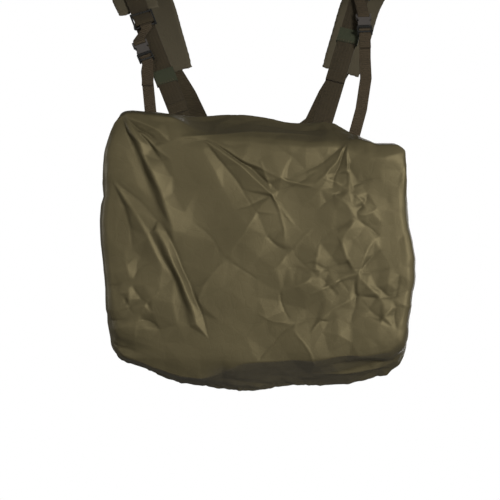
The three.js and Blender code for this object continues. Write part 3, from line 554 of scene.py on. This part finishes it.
def facet_map(draw):
    """Height of the folded sheet: flat facets between its corners, on a square map."""
    runs = folded_runs()
    corners = np.concatenate(runs)
    starts = np.cumsum([0] + [len(run) for run in runs[:-1]])
    joins = [(int(a) + k, int(a) + k + 1) for a, run in zip(starts, runs) for k in range(len(run) - 1)]
    quarters = (0, 0.25, 0.5, 0.75, 1)
    along = [corners[a, :2] + (corners[b, :2] - corners[a, :2]) * t for a, b in joins for t in quarters]
    edge = [(x, z, 0.0) for x in (-MAP_HALF, MAP_HALF) for z in (-MAP_HALF, MAP_HALF)]
    every = np.concatenate([corners, loose_corners(np.array(along), draw), edge])
    found, _, faces, sources, _, _ = delaunay_2d_cdt([Vector(c[:2]) for c in every], joins, [], 0, 1e-4)
    spots = np.array([tuple(v) for v in found])
    heights = np.zeros(len(spots))
    for k, source in enumerate(sources):
        if source:
            heights[k] = every[list(source), 2].mean()
            continue
        shares = []
        for a, b in joins:
            step = corners[b, :2] - corners[a, :2]
            t = np.dot(spots[k] - corners[a, :2], step) / np.dot(step, step)
            if 0 <= t <= 1 and np.hypot(*(corners[a, :2] + t * step - spots[k])) < 0.05:
                shares.append(corners[a, 2] + t * (corners[b, 2] - corners[a, 2]))
        heights[k] = np.mean(shares) if shares else 0.0
    size = int(2 * MAP_HALF / MAP_CELL) + 1
    field = np.zeros((size, size))
    for face in faces:
        at = (spots[list(face)] + MAP_HALF) / MAP_CELL
        low = np.floor(at.min(axis=0)).astype(int)
        high = np.minimum(np.ceil(at.max(axis=0)).astype(int), size - 1)
        i, j = np.mgrid[low[0]:high[0] + 1, low[1]:high[1] + 1]
        (ax, az), (bx, bz), (cx, cz) = at
        whole = (bx - ax) * (cz - az) - (cx - ax) * (bz - az)
        if abs(whole) < 1e-9:
            continue
        v = ((i - ax) * (cz - az) - (cx - ax) * (j - az)) / whole
        w = ((bx - ax) * (j - az) - (i - ax) * (bz - az)) / whole
        inside = (v >= -1e-6) & (w >= -1e-6) & (v + w <= 1 + 1e-6)
        level = (1 - v - w) * heights[face[0]] + v * heights[face[1]] + w * heights[face[2]]
        field[i[inside], j[inside]] = level[inside]
    return blurred(field, MAP_BLUR)


def read_map(field, x, z):
    """The map's height at each place, between its four nearest cells."""
    i = np.clip((x + MAP_HALF) / MAP_CELL, 0, field.shape[0] - 1.001)
    j = np.clip((z + MAP_HALF) / MAP_CELL, 0, field.shape[1] - 1.001)
    a, b = i.astype(int), j.astype(int)
    u, v = i - a, j - b
    near = field[a, b] * (1 - v) + field[a, b + 1] * v
    far = field[a + 1, b] * (1 - v) + field[a + 1, b + 1] * v
    return near * (1 - u) + far * u


def tree_of(obj):
    mesh = obj.data
    faces = [tuple(p.vertices) for p in mesh.polygons]
    return BVHTree.FromPolygons([v.co.copy() for v in mesh.vertices], faces)


def cover_profile(ways):
    """The CAD cover's outside: its radius each way at each depth, and how far round each depth is."""
    low, high = box_mm("rain_cover")
    depths = [low[1] + rise for rise in PROFILE_RISES] + [high[1] - 0.3]
    tree = tree_of(nodes["rain_cover"])
    rows = []
    for depth in depths:
        row = []
        for way in ways:
            out = Vector((math.cos(way), 0, math.sin(way)))
            hit = tree.ray_cast(Vector((0, depth * MM, 0)) + out, -out)[0]
            row.append(math.hypot(hit.x, hit.z) / MM)
        rows.append(row)
    # Below, the cloth falls back under the pack in one long slope.
    rows = np.array(rows)
    below = smoothstep((-np.sin(ways) - 0.3) / 0.4)
    slope = np.array(depths)[SLOPE_FROM:SLOPE_TO + 1]
    for k in range(SLOPE_FROM + 1, SLOPE_TO + 1):
        t = (depths[k] - slope[0]) / (slope[-1] - slope[0])
        straight = rows[SLOPE_FROM] + (rows[SLOPE_WIDEST] - rows[SLOPE_FROM]) * t
        if k == SLOPE_WIDEST:
            widest = straight
        else:
            rows[k] += (straight - rows[k]) * below
    rows[SLOPE_WIDEST] += (widest - rows[SLOPE_WIDEST]) * below
    rows = rows.tolist()
    low_hem, high_hem = box_mm("cover_hem")
    depths.append(0.5 * (low_hem[1] + high_hem[1]))
    rows.append([r * HEM_SHARE for r in rows[-1]])
    depths = np.array([low[1]] + depths)
    rows = np.array([[0.0] * len(ways)] + rows)
    mean = rows.mean(axis=1)
    run = np.concatenate([[0], np.cumsum(np.hypot(np.diff(mean), np.diff(depths)))])
    return depths, rows, run / run[-1]


def squared_up(x, y, z, way, front):
    """Depths with the front's edge squared up: flat to the corners, and bent sharply along the bottom."""
    corner = smoothstep((-x - 50) / 60) * smoothstep((z - 80) / 50)
    corner += smoothstep((x - 85) / 50) * smoothstep((z - 60) / 50)
    lower = smoothstep((-np.sin(way) - 0.4) / 0.4)
    low_corner = smoothstep((-x - 15) / 60) * smoothstep((-z - 80) / 45)
    back = y - front
    push = EDGE_PUSH + 0.36 * corner + 0.22 * lower
    y = y - push * back * np.exp(-((back / (EDGE_DEPTH + 26 * corner + 10 * lower)) ** 2))
    flat = np.minimum(corner + low_corner, 1)
    bend = BEND + (CORNER_BEND - BEND) * flat
    bent = front + np.maximum(back - bend, 0) * SLOPE_END / (SLOPE_END - bend)
    held = np.maximum(lower * smoothstep((x + 75) / 65), flat) * smoothstep((SLOPE_END - back) / 20)
    return y + (np.minimum(bent, front + back) - y) * BEND_SHARE * held


def build_cover():
    """The cover: one sheet on a square grid, wrapped over the pack, then folded and crumpled."""
    draw = np.random.default_rng(SEED)
    ways = np.linspace(-math.pi, math.pi, 721)
    depths, rows, run = cover_profile(ways)
    line = np.arange(-RINGS, RINGS + 1, dtype=float)
    across, up = np.meshgrid(line, line, indexing="ij")
    share = np.maximum(np.abs(across), np.abs(up)) / RINGS
    way = np.arctan2(up, across)
    radii = np.stack([np.interp(way, ways, row) for row in rows])
    index = np.clip(np.searchsorted(run, share, side="right") - 1, 0, len(run) - 2)
    t = (share - run[index]) / (run[index + 1] - run[index])
    before, after = (np.take_along_axis(radii, k[None], axis=0)[0] for k in (index, index + 1))
    radius = before + (after - before) * t
    y = depths[index] + (depths[index + 1] - depths[index]) * t
    x, z = radius * np.cos(way), radius * np.sin(way)
    y = squared_up(x, y, z, way, depths[0])
    x, y, z = (blurred(c, 5) for c in (x, y, z))

    # Round the edge of the front the folds carry on as if the sheet lay flat.
    unrolled = np.maximum(y - UNROLL_FROM, 0)
    flat_x = x + unrolled * np.cos(way) + 0.5 * ripple(x, z, 30, 5, draw)
    flat_z = z + unrolled * np.sin(way) + 0.5 * ripple(x, z, 30, 5, draw)
    height = read_map(facet_map(draw), flat_x, flat_z)
    for kind, tall, _, *points in CREASES:
        height = height + crease_line(flat_x, flat_z, kind, tall, points)
    height += ripple(x, z, 110, 5, draw)
    # Towards the elastic hem the cloth gathers into pleats that run back along the sides.
    wobble = way * 160 + 4 * ripple(x - z, y * 1.5 + z, 60, 5, draw)
    pleats = np.abs(np.mod(wobble / 17, 1) - 0.5) + 0.7 * np.abs(np.mod(wobble / 9.3 + 0.3, 1) - 0.5)
    height += PLEAT_HEIGHT * smoothstep((share - PLEAT_FROM) / (1 - PLEAT_FROM)) * (pleats - 0.4)
    height *= 1 - 0.55 * smoothstep((share - 0.93) / 0.07)
    place = np.stack([x, y, z], axis=-1)
    normal = np.cross(np.gradient(place, axis=1), np.gradient(place, axis=0))
    normal /= np.linalg.norm(normal, axis=-1, keepdims=True) + 1e-9
    if normal[RINGS, RINGS, 1] > 0:
        normal = -normal
    for c in range(3):
        normal[..., c] = blurred(normal[..., c], 6)
    place = place + normal * height[..., None]
    size = 2 * RINGS + 1
    number = np.arange(size * size).reshape(size, size)
    faces = np.stack([number[:-1, :-1], number[1:, :-1], number[1:, 1:], number[:-1, 1:]], axis=-1)
    cover = from_arrays("rain_cover_sheet", place.reshape(-1, 3), faces.reshape(-1, 4).tolist())
    # The fold value: how far each place stands above or below the cloth round it. The cover's material paints
    # raised crests paler, as wear, and sunken hollows darker, as painted shade.
    crest = np.clip((height - blurred(height, 24)) / 0.9, -1, 1)
    fold = cover.data.attributes.new("fold", "FLOAT", "POINT")
    fold.data.foreach_set("value", crest.reshape(-1).astype(np.float32))
    return cover, place


def tube(name, points, radii, sides, closed=False):
    """A round tube along points, in millimetres."""
    points = np.asarray(points, float)
    count = len(points)
    ahead = np.roll(points, -1, 0) if closed else np.concatenate([points[1:], points[-1:]])
    behind = np.roll(points, 1, 0) if closed else np.concatenate([points[:1], points[:-1]])
    along = ahead - behind
    along /= np.linalg.norm(along, axis=1, keepdims=True)
    radii = np.broadcast_to(radii, count)
    side = np.cross(along, [0, 1, 0])
    weak = np.linalg.norm(side, axis=1) < 0.2
    side[weak] = np.cross(along[weak], [1, 0, 0])
    side /= np.linalg.norm(side, axis=1, keepdims=True)
    lift = np.cross(side, along)
    turns = np.linspace(0, 2 * math.pi, sides, endpoint=False)
    ring = [p + r * (math.cos(a) * s + math.sin(a) * u)
            for p, r, s, u in zip(points, radii, side, lift) for a in turns]
    faces = []
    for i in range(count if closed else count - 1):
        for k in range(sides):
            a, b = i * sides + k, i * sides + (k + 1) % sides
            c, d = ((i + 1) % count) * sides + (k + 1) % sides, ((i + 1) % count) * sides + k
            faces.append((a, b, c, d))
    if not closed:
        faces.append(tuple(range(sides))[::-1])
        faces.append(tuple((count - 1) * sides + k for k in range(sides)))
    return from_arrays(name, ring, faces)


def rounded_loop(left, right, low, high, radius, step=4.0):
    """Points round a rectangle with rounded corners, seen from in front."""
    corners = [(right - radius, high - radius, 0), (left + radius, high - radius, 90),
               (left + radius, low + radius, 180), (right - radius, low + radius, 270)]
    loop = []
    for x, z, start in corners:
        for k in range(9):
            a = math.radians(start + k * 90 / 8)
            loop.append((x + radius * math.cos(a), z + radius * math.sin(a)))
    closed = loop + loop[:1]
    points = []
    for (ax, az), (bx, bz) in zip(closed, closed[1:]):
        pieces = max(1, int(math.hypot(bx - ax, bz - az) / step))
        points += [(ax + (bx - ax) * k / pieces, az + (bz - az) * k / pieces) for k in range(pieces)]
    return np.array(points)


def join_into(name, objects):
    """One object made of several."""
    points, faces, start = [], [], 0
    for obj in objects:
        part = points_of(obj)
        points.append(part)
        faces += [tuple(start + i for i in p.vertices) for p in obj.data.polygons]
        start += len(part)
        bpy.data.objects.remove(obj)
    return from_arrays(name, np.concatenate(points), faces)


def stitches(name, runs, gap=1.3, thick=0.75):
    """Rows of thread: each stitch is a small pointed bead that lies along its run of points."""
    out, length = np.array([0.0, -1.0, 0.0]), STITCH
    points, faces = [], []
    for run in runs:
        run = np.asarray(run, float)
        steps = np.linalg.norm(np.diff(run, axis=0), axis=1)
        where = np.concatenate([[0], np.cumsum(steps)])
        start = 0.0
        while start + length < where[-1]:
            ends = [np.array([np.interp(start + d, where, run[:, c]) for c in range(3)])
                    for d in (0, 0.3 * length, 0.7 * length, length)]
            along = unit(ends[-1] - ends[0])
            side = unit(np.cross(along, out))
            first = len(points)
            for share, end in zip((0.25, 1, 1, 0.25), ends):
                half = share * thick / 2
                points += [end + side * half, end + out * half * 1.2, end - side * half, end - out * half]
            for r in range(3):
                for k in range(4):
                    a, b = first + 4 * r + k, first + 4 * r + (k + 1) % 4
                    faces.append((a, b, b + 4, a + 4))
            faces.append((first + 3, first + 2, first + 1, first))
            faces.append((first + 12, first + 13, first + 14, first + 15))
            start += length + gap
    return from_arrays(name, points, faces)


# --- pieces made from CAD solids
def copied(node, name, step=None, dissolve=False):
    """A new piece with the shape of a CAD node, cut finer by planes step millimetres apart."""
    source = nodes[node].data
    work = bmesh.new()
    made = [work.verts.new(v.co) for v in source.vertices]
    for polygon in source.polygons:
        work.faces.new([made[i] for i in polygon.vertices])
    bmesh.ops.remove_doubles(work, verts=work.verts, dist=2e-5)
    if dissolve:
        bmesh.ops.dissolve_limit(work, angle_limit=math.radians(1), verts=work.verts, edges=work.edges)
    if step:
        low, high = box_mm(node)
        for axis in range(3):
            pieces = int((high[axis] - low[axis]) // step) + 1
            plane = np.zeros(3)
            plane[axis] = 1
            for k in range(1, pieces):
                at = plane * (low[axis] + (high[axis] - low[axis]) * k / pieces) * MM
                everything = work.verts[:] + work.edges[:] + work.faces[:]
                bmesh.ops.bisect_plane(work, geom=everything, plane_co=at, plane_no=plane, dist=1e-6)
    mesh = bpy.data.meshes.new(name)
    work.to_mesh(mesh)
    work.free()
    return add_object(name, mesh)


def with_modifiers(obj, *modifiers):
    """Adds modifiers and applies them, so that the mesh is final."""
    for kind, settings in modifiers:
        added = obj.modifiers.new(kind.lower(), kind)
        for key, value in settings.items():
            setattr(added, key, value)
    graph = bpy.context.evaluated_depsgraph_get()
    mesh = bpy.data.meshes.new_from_object(obj.evaluated_get(graph))
    obj.modifiers.clear()
    obj.data = mesh
    return obj


def smooth_by_angle(obj, degrees):
    smoothed(obj.data)
    obj.data.set_sharp_from_angle(angle=math.radians(degrees))
    return obj


def bevelled(obj, width):
    return with_modifiers(obj, ("BEVEL", {"width": width, "segments": 2, "limit_method": "ANGLE",
                                          "angle_limit": math.radians(50)}))


def moved(obj, change):
    """Moves each vertex by what change gives for its place, in millimetres."""
    points = points_of(obj)
    points = points + change(points)
    obj.data.vertices.foreach_set("co", (points * MM).reshape(-1))
    obj.data.update()
    return obj


def unevenness(points, wave, tall, seed):
    draw = np.random.default_rng(seed)
    x, y, z = points.T
    return tall * ripple(x + 0.6 * y, z - 0.4 * y, wave, 6, draw)


def webbing(node, material, step=None, blend_to=None):
    """Flat webbing with softened edges."""
    band = bevelled(copied(node, node + "_web", step), 0.00034)
    smooth_by_angle(band, 35)
    finish_piece(band, material, None if blend_to else "pack")
    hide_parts(node)
    if blend_to:
        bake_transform(band)


def pad(node, name, material, voxel=0.0022, smooth=10, shape=None):
    """A foam pad: a closed form with rounded edges, reshaped further where a shape is given."""
    made = copied(node, name)
    with_modifiers(made, ("REMESH", {"mode": "VOXEL", "voxel_size": voxel}),
                   ("SMOOTH", {"factor": 0.5, "iterations": smooth}))
    made.data.update()
    if shape:
        moved(made, shape)
    smoothed(made.data)
    finish_piece(made, material, "pack")
    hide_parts(node)
    return made


def across_box(points, low, high):
    """How far across and up each point is in a box, from -1 to 1."""
    return [(2 * points[:, c] - low[c] - high[c]) / (high[c] - low[c]) for c in (0, 2)]


def shell(node, step, crown, seed, rounding=2):
    """A sewn fabric shell that keeps the CAD node's openings, crowned in front and slightly uneven."""
    made = copied(node, node + "_cloth", step, dissolve=True)
    low, high = box_mm(node)

    def slack(points):
        u, v = across_box(points, low, high)
        front = smoothstep((high[1] - points[:, 1]) / (high[1] - low[1]))
        swell = crown * (1 - u**4) * (1 - v**4) * front
        wave = unevenness(points, 55, 0.45, seed) + unevenness(points, 21, 0.18, seed + 50)
        return np.stack([0.4 * wave, wave - swell, 0.5 * wave], axis=1)

    with_modifiers(made, ("SMOOTH", {"factor": 0.5, "iterations": rounding}))
    moved(made, slack)
    smooth_by_angle(made, 50)
    finish_piece(made, PACK_CLOTH, "pack")
    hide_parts(node)


def hardware(node, material, bevel=0.00035):
    """A CAD piece that keeps its shape, with moulded edges."""
    obj = nodes[node]
    added = obj.modifiers.new("edges", "BEVEL")
    added.width = bevel
    added.segments = 2
    added.limit_method = "ANGLE"
    added.angle_limit = math.radians(40)
    smooth_by_angle(obj, 35)
    obj.data.materials.clear()
    obj.data.materials.append(material)


def on_front(tree, x, z, lift):
    """The place that shows from in front at x and z, raised a little towards the front."""
    hit = tree.ray_cast(Vector((x * MM, -0.5, z * MM)), Vector((0, 1, 0)))[0]
    return None if hit is None else np.array(hit) / MM - (0, lift, 0)


def sewn(tree, start, end):
    """A run of points on a piece's front between two places, given as x and z."""
    start, end = np.asarray(start, float), np.asarray(end, float)
    count = max(2, int(np.linalg.norm(end - start) / 2))
    places = [on_front(tree, *(start + (end - start) * k / count), THREAD_LIFT)
              for k in range(count + 1)]
    return [p for p in places if p is not None]


def sewn_box(tree, centre, half, tilt):
    """The box and cross that fasten the end of a webbing."""
    turn = np.array([[math.cos(tilt), math.sin(tilt)], [-math.sin(tilt), math.cos(tilt)]])
    corners = [np.asarray(centre) + turn @ (a * half, b * half)
               for a, b in ((-1, -1), (1, -1), (1, 1), (-1, 1))]
    pairs = ((0, 1), (1, 2), (2, 3), (3, 0), (0, 2), (1, 3))
    return [sewn(tree, corners[a], corners[b]) for a, b in pairs]


def add_thread(name, runs, body, slot, **settings):
    made = stitches(name, [r for r in runs if len(r) > 1], **settings)
    return finish_piece(made, THREAD, body)


# --- cover and hem
cover, cover_grid = build_cover()
finish_piece(cover, COVER_CLOTH, "cover")
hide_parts("rain_cover")


def build_hem():
    """The elastic hem: a gathered tube round the cover's open edge."""
    edges = (cover_grid[0, :-1], cover_grid[:-1, -1], cover_grid[-1, :0:-1], cover_grid[:0:-1, 0])
    cell_shade = np.concatenate(edges)[::2]
    steps = np.linalg.norm(np.diff(cell_shade, axis=0, append=cell_shade[:1]), axis=1)
    run = np.cumsum(steps)
    low, high = box_mm("cover_hem")
    points = cell_shade.copy()
    points[:, 1] = 0.5 * (low[1] + high[1]) + 0.5 * np.sin(run / 3.1)
    swell = 2.7 + 0.75 * np.abs(np.sin(run / 1.9)) + 0.4 * np.sin(run / 5.3)
    return tube("cover_hem_gathered", points, swell, sides=12, closed=True)


hem = build_hem()
finish_piece(hem, HEM_CLOTH, "cover")
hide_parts("cover_hem")

# --- the pack under the cover
shell("back_panel", 12, 0, 3, 1)
shell("main_compartment", 9, 1.0, 5)
shell("main_lid", 9, 1.0, 6)
shell("box_call_pocket", 8, 2.5, 7)
shell("box_call_flap", 8, 1.5, 8, 1)
for side in ("left", "right"):
    shell("pot_pocket_" + side, 7, 2.5, 9)
    shell("pot_flap_" + side, 7, 1.5, 10, 1)
for level in ("upper", "lower"):
    band = copied("striker_loops_" + level, f"striker_loops_{level}_elastic")
    smooth_by_angle(bevelled(band, 0.0003), 40)
    finish_piece(band, ELASTIC, "pack")
    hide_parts("striker_loops_" + level)


def loop_at(node, y, radius, inset=0.0):
    low, high = box_mm(node)
    flat = rounded_loop(low[0] + inset, high[0] - inset, low[2] + inset, high[2] - inset, radius)
    return np.stack([flat[:, 0], np.full(len(flat), y), flat[:, 1]], axis=1)


def binding(name, points, radius):
    return finish_piece(tube(name, points, radius, sides=8, closed=True), BINDING, "pack")


low, high = box_mm("back_panel")
binding("back_panel_binding", loop_at("back_panel", 0.5 * (low[1] + high[1]), 55, 0.6), 2.6)
low, high = box_mm("spacer_mesh_pad")
binding("mesh_pad_binding", loop_at("spacer_mesh_pad", low[1] + 1.6, 30, 0.8), 2.0)


compartment_low, compartment_high = box_mm("main_compartment")
lid_top = box_mm("main_lid")[1][2]
for place, name in ((compartment_low[1] + 1.2, "front"), (compartment_high[1] - 1.2, "rear")):
    flat = rounded_loop(compartment_low[0], compartment_high[0], compartment_low[2], lid_top, 42)
    loop = np.stack([flat[:, 0], np.full(len(flat), place), flat[:, 1]], axis=1)
    binding(f"body_{name}_binding", loop, 1.7)

runs = []
for node in ("box_call_flap", "pot_flap_left", "pot_flap_right"):
    tree = tree_of(bpy.data.objects[node + "_cloth"])
    low, high = box_mm(node)
    for up in (2.5, 6.5):
        runs.append(sewn(tree, (low[0] + 5, low[2] + up), (high[0] - 5, low[2] + up)))
    for x in (low[0] + 4, high[0] - 4):
        runs.append(sewn(tree, (x, low[2] + 3), (x, high[2] - 6)))
for node in ("box_call_pocket", "pot_pocket_left", "pot_pocket_right"):
    tree = tree_of(bpy.data.objects[node + "_cloth"])
    low, high = box_mm(node)
    runs.append(sewn(tree, (low[0] + 12, low[2] + 5), (high[0] - 12, low[2] + 5)))
    for x in (low[0] + 5, high[0] - 5):
        runs.append(sewn(tree, (x, low[2] + 12), (x, high[2] - 30)))
add_thread("pocket_stitching", runs, "pack", "pack_fabric")


def mesh_pad_shape(points):
    """Sewn channels across the pad, with the foam swelling between them."""
    low, high = box_mm("spacer_mesh_pad")
    rear = smoothstep((points[:, 1] - low[1] - 1.5) / 2)
    u, v = across_box(points, low, high)
    none = np.zeros_like(u)
    depth = none.copy()
    for channel in (-0.34, 0.34):
        depth += np.exp(-np.abs(v - channel) * 26)
    depth += np.exp(-np.abs(u) * 40) * (np.abs(v) > 0.34)
    crown = (1 - u**6) * (1 - v**6)
    return np.stack([none, rear * (1.2 * crown - 2.6 * np.clip(depth, 0, 1)), none], axis=1)


pad("spacer_mesh_pad", "spacer_mesh_cushion", SPACER, 0.0019, 6, mesh_pad_shape)

# --- zip
zip_low, zip_high = box_mm("zip_tape")
tape = copied("zip_tape", "zip_tape_cloth", 8, dissolve=True)
smooth_by_angle(tape, 40)
finish_piece(tape, ZIP_CLOTH, "pack")
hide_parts("zip_tape")
seam = 0.5 * (zip_low[2] + zip_high[2])
teeth = []
pitch = 2.2
for k in range(int((zip_high[0] - zip_low[0] - 6) / pitch)):
    x = zip_low[0] + 3 + k * pitch
    up = 0.8 if k % 2 else -0.8
    a = (x - 0.2, zip_low[1] - 0.15, seam + up - 1.5)
    b = (x + 0.2, zip_low[1] - 0.35, seam + up + 1.5)
    teeth.append(tube("tooth", [a, b], 0.62, sides=6))
coil = join_into("zip_teeth", teeth)
finish_piece(coil, ZIP_METAL, "pack")
for side in ("left", "right"):
    hardware("zip_slider_" + side, ZIP_METAL, 0.0005)

# --- webbing in front
joint = {j["name"]: j for j in frame["joints"]}


def tilt_of(direction):
    return math.atan2(direction[0], direction[2])


def web_material(name, slot, tilt, ribs, stripe=None, turn=None):
    return fabric(name, base_colour(slot), 0.0013, turn=turn or (0, -tilt, 0), roughness=0.82, weave=0.0010,
                  ribs=ribs, patch=60, contrast=0.14, stripe=stripe)


for side in ("left", "right"):
    run = unit(joint["keeper_slide_" + side]["axis"])
    wide = web_material("wide_web_" + side, "wide_webbing", tilt_of(run), 0.0016, 0.0042)
    low, high = box_mm("narrow_lower_" + side)
    release = unit(joint[f"buckle_{side}_release"]["axis"])
    narrow = web_material("narrow_web_" + side, "narrow_webbing", tilt_of(-release), 0.0026)
    webbing("adjust_strap_" + side, wide)
    webbing("narrow_upper_" + side, narrow)
    webbing("narrow_lower_" + side, narrow, 6,
            f"buckle_{side}_plug")
    strap_tree = tree_of(bpy.data.objects[f"adjust_strap_{side}_web"])
    keeper_low, keeper_high = box_mm("keeper_" + side)
    middle = 0.5 * (keeper_low + keeper_high)
    slope = run[0] / run[2]
    tilt = math.atan(slope)
    tail = keeper_low[2] - 4
    depth = on_front(strap_tree, middle[0] + slope * (tail - middle[2]), tail, 0)[1]
    while True:
        step = on_front(strap_tree, middle[0] + slope * (tail - 0.5 - middle[2]), tail - 0.5, 0)
        if step is None or abs(step[1] - depth) > 1.5:
            break
        tail, depth = tail - 0.5, step[1]
    across = np.array([math.cos(tilt), -math.sin(tilt)])
    ahead = np.array([math.sin(tilt), math.cos(tilt)])
    end_point = np.array([middle[0] + slope * (tail - middle[2]), tail])
    rows = [sewn(strap_tree, end_point + ahead * up - across * 10.5, end_point + ahead * up + across * 10.5)
            for up in (2.2, 10.4)]
    foot_low = box_mm("adjust_strap_" + side)[0][2]
    foot_x = middle[0] + slope * (foot_low + 14 - middle[2])
    rows += sewn_box(strap_tree, (foot_x, foot_low + 14), 9.5, tilt)
    add_thread(f"adjust_strap_{side}_stitching", rows, "pack", "wide_webbing", thick=0.6)
    keeper = copied("keeper_" + side, f"keeper_{side}_elastic", 4, dissolve=True)
    with_modifiers(keeper, ("SMOOTH", {"factor": 0.4, "iterations": 1}))
    smooth_by_angle(keeper, 60)
    knit = fabric("keeper_knit_" + side, base_colour("elastic"), 0.0011, turn=(0, -tilt_of(run), 0),
                  roughness=0.85, weave=0.0004, ribs=0.0017)
    finish_piece(keeper, knit, "keeper_" + side)
    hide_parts("keeper_" + side)
    keeper_tree = tree_of(keeper)
    hem_at = np.array([middle[0], middle[2]]) - ahead * 7.6
    hem_rows = [sewn(keeper_tree, hem_at + ahead * up - across * 13, hem_at + ahead * up + across * 13)
                for up in (0, 1.6)]
    add_thread(f"keeper_{side}_stitching", hem_rows, f"keeper_{side}", "elastic", thick=0.6, gap=0.8)

    # over the shoulder and down the back
    over = web_material("shoulder_web_" + side, "wide_webbing", 0, 0.0016, None, (0.6, 0, 0))
    webbing("pad_webbing_" + side, over)
    pad("shoulder_pad_" + side, f"shoulder_pad_{side}_foam", PAD_CLOTH, 0.0024, 6)

    # round the wearer's sides
    fore = web_material("side_web_" + side, "wide_webbing", 0, 0.0016, None, (math.radians(90), 0, 0))
    low, high = box_mm("side_strap_front_" + side)
    webbing("side_strap_front_" + side, fore, 5,
            f"side_buckle_{side}_plug")
    webbing("side_strap_rear_" + side, fore)

    for node in ("buckle_socket_" + side, "side_socket_" + side):
        hardware(node, SHELL)
    moving = [f"buckle_plug_{side}", f"buckle_prong_inner_{side}", f"buckle_prong_outer_{side}",
              f"side_plug_{side}", f"side_prong_low_{side}", f"side_prong_high_{side}", f"ladder_lock_{side}"]
    for node in moving:
        hardware(node, ACETAL)

pad("back_yoke", "back_yoke_foam", PAD_CLOTH, 0.0022, 6)
low, high = box_mm("back_yoke")
binding("back_yoke_binding", loop_at("back_yoke", 0.5 * (low[1] + high[1]), 26, 1.2), 2.4)


# --- floor, lights
def stage_floor():
    """A pale floor well below the harness, which hangs as if it were worn."""
    radius, level, sides = 700, -900, 72
    turns = np.linspace(0, 2 * math.pi, sides, endpoint=False)
    cell_shade = [(radius * math.cos(a), radius * math.sin(a), level) for a in turns]
    floor = from_arrays("stage_floor", cell_shade, [tuple(range(sides))])
    made, tree, shader = node_material("stage_paint")
    shade_noise = noise_node(tree, coordinates(tree), 1.5)
    paint = mixed_colour(tree, shade_noise, (0.78, 0.77, 0.75), (0.82, 0.81, 0.79))
    link(tree, paint, shader.inputs["Base Color"])
    shader.inputs["Roughness"].default_value = 0.9
    shader.inputs["Emission Color"].default_value = (1, 1, 1, 1)
    shader.inputs["Emission Strength"].default_value = 0.12
    floor.data.materials.append(made)


def area_light(name, place, aim, size, power, spread):
    """A soft round lamp that points at a place."""
    data = bpy.data.lights.new(name, "AREA")
    data.shape = "DISK"
    data.size = size
    data.energy = power
    data.spread = math.radians(spread)
    lamp = bpy.data.objects.new(name, data)
    lamp.location = place
    lamp.rotation_euler = (Vector(aim) - Vector(place)).to_track_quat("-Z", "Y").to_euler()
    bpy.context.scene.collection.objects.link(lamp)


def studio_world(seen, cast):
    """A white studio all round: bright where it is looked at, dim as a light."""
    world = bpy.data.worlds.new("studio")
    bpy.context.scene.world = world
    world.use_nodes = True
    tree = world.node_tree
    shown = tree.nodes["Background"]
    shown.inputs["Color"].default_value = (1, 1, 1, 1)
    shown.inputs["Strength"].default_value = seen
    dim = tree.nodes.new("ShaderNodeBackground")
    dim.inputs["Color"].default_value = (1.0, 0.97, 0.9, 1)
    dim.inputs["Strength"].default_value = cast
    path = tree.nodes.new("ShaderNodeLightPath")
    mix = tree.nodes.new("ShaderNodeMixShader")
    tree.links.new(path.outputs["Is Camera Ray"], mix.inputs[0])
    tree.links.new(dim.outputs[0], mix.inputs[1])
    tree.links.new(shown.outputs[0], mix.inputs[2])
    tree.links.new(mix.outputs[0], tree.nodes["World Output"].inputs[0])


stage_floor()
area_light("key", (1.25, -1.6, 0.26), (0, 0, 0.05), 0.6, 6.5, 60)
area_light("fill", (-1.1, -1.7, 0.3), (0, 0, 0.05), 0.9, 1.8, 70)
area_light("back", (0.3, 2.4, 0.1), (0, 0, 0.1), 1.8, 6, 60)
area_light("side", (-2.0, 0.3, 0.3), (0, 0.05, 0.1), 0.9, 1.8, 60)
studio_world(1.0, 0.08)
bpy.context.scene.view_settings.view_transform = "Standard"
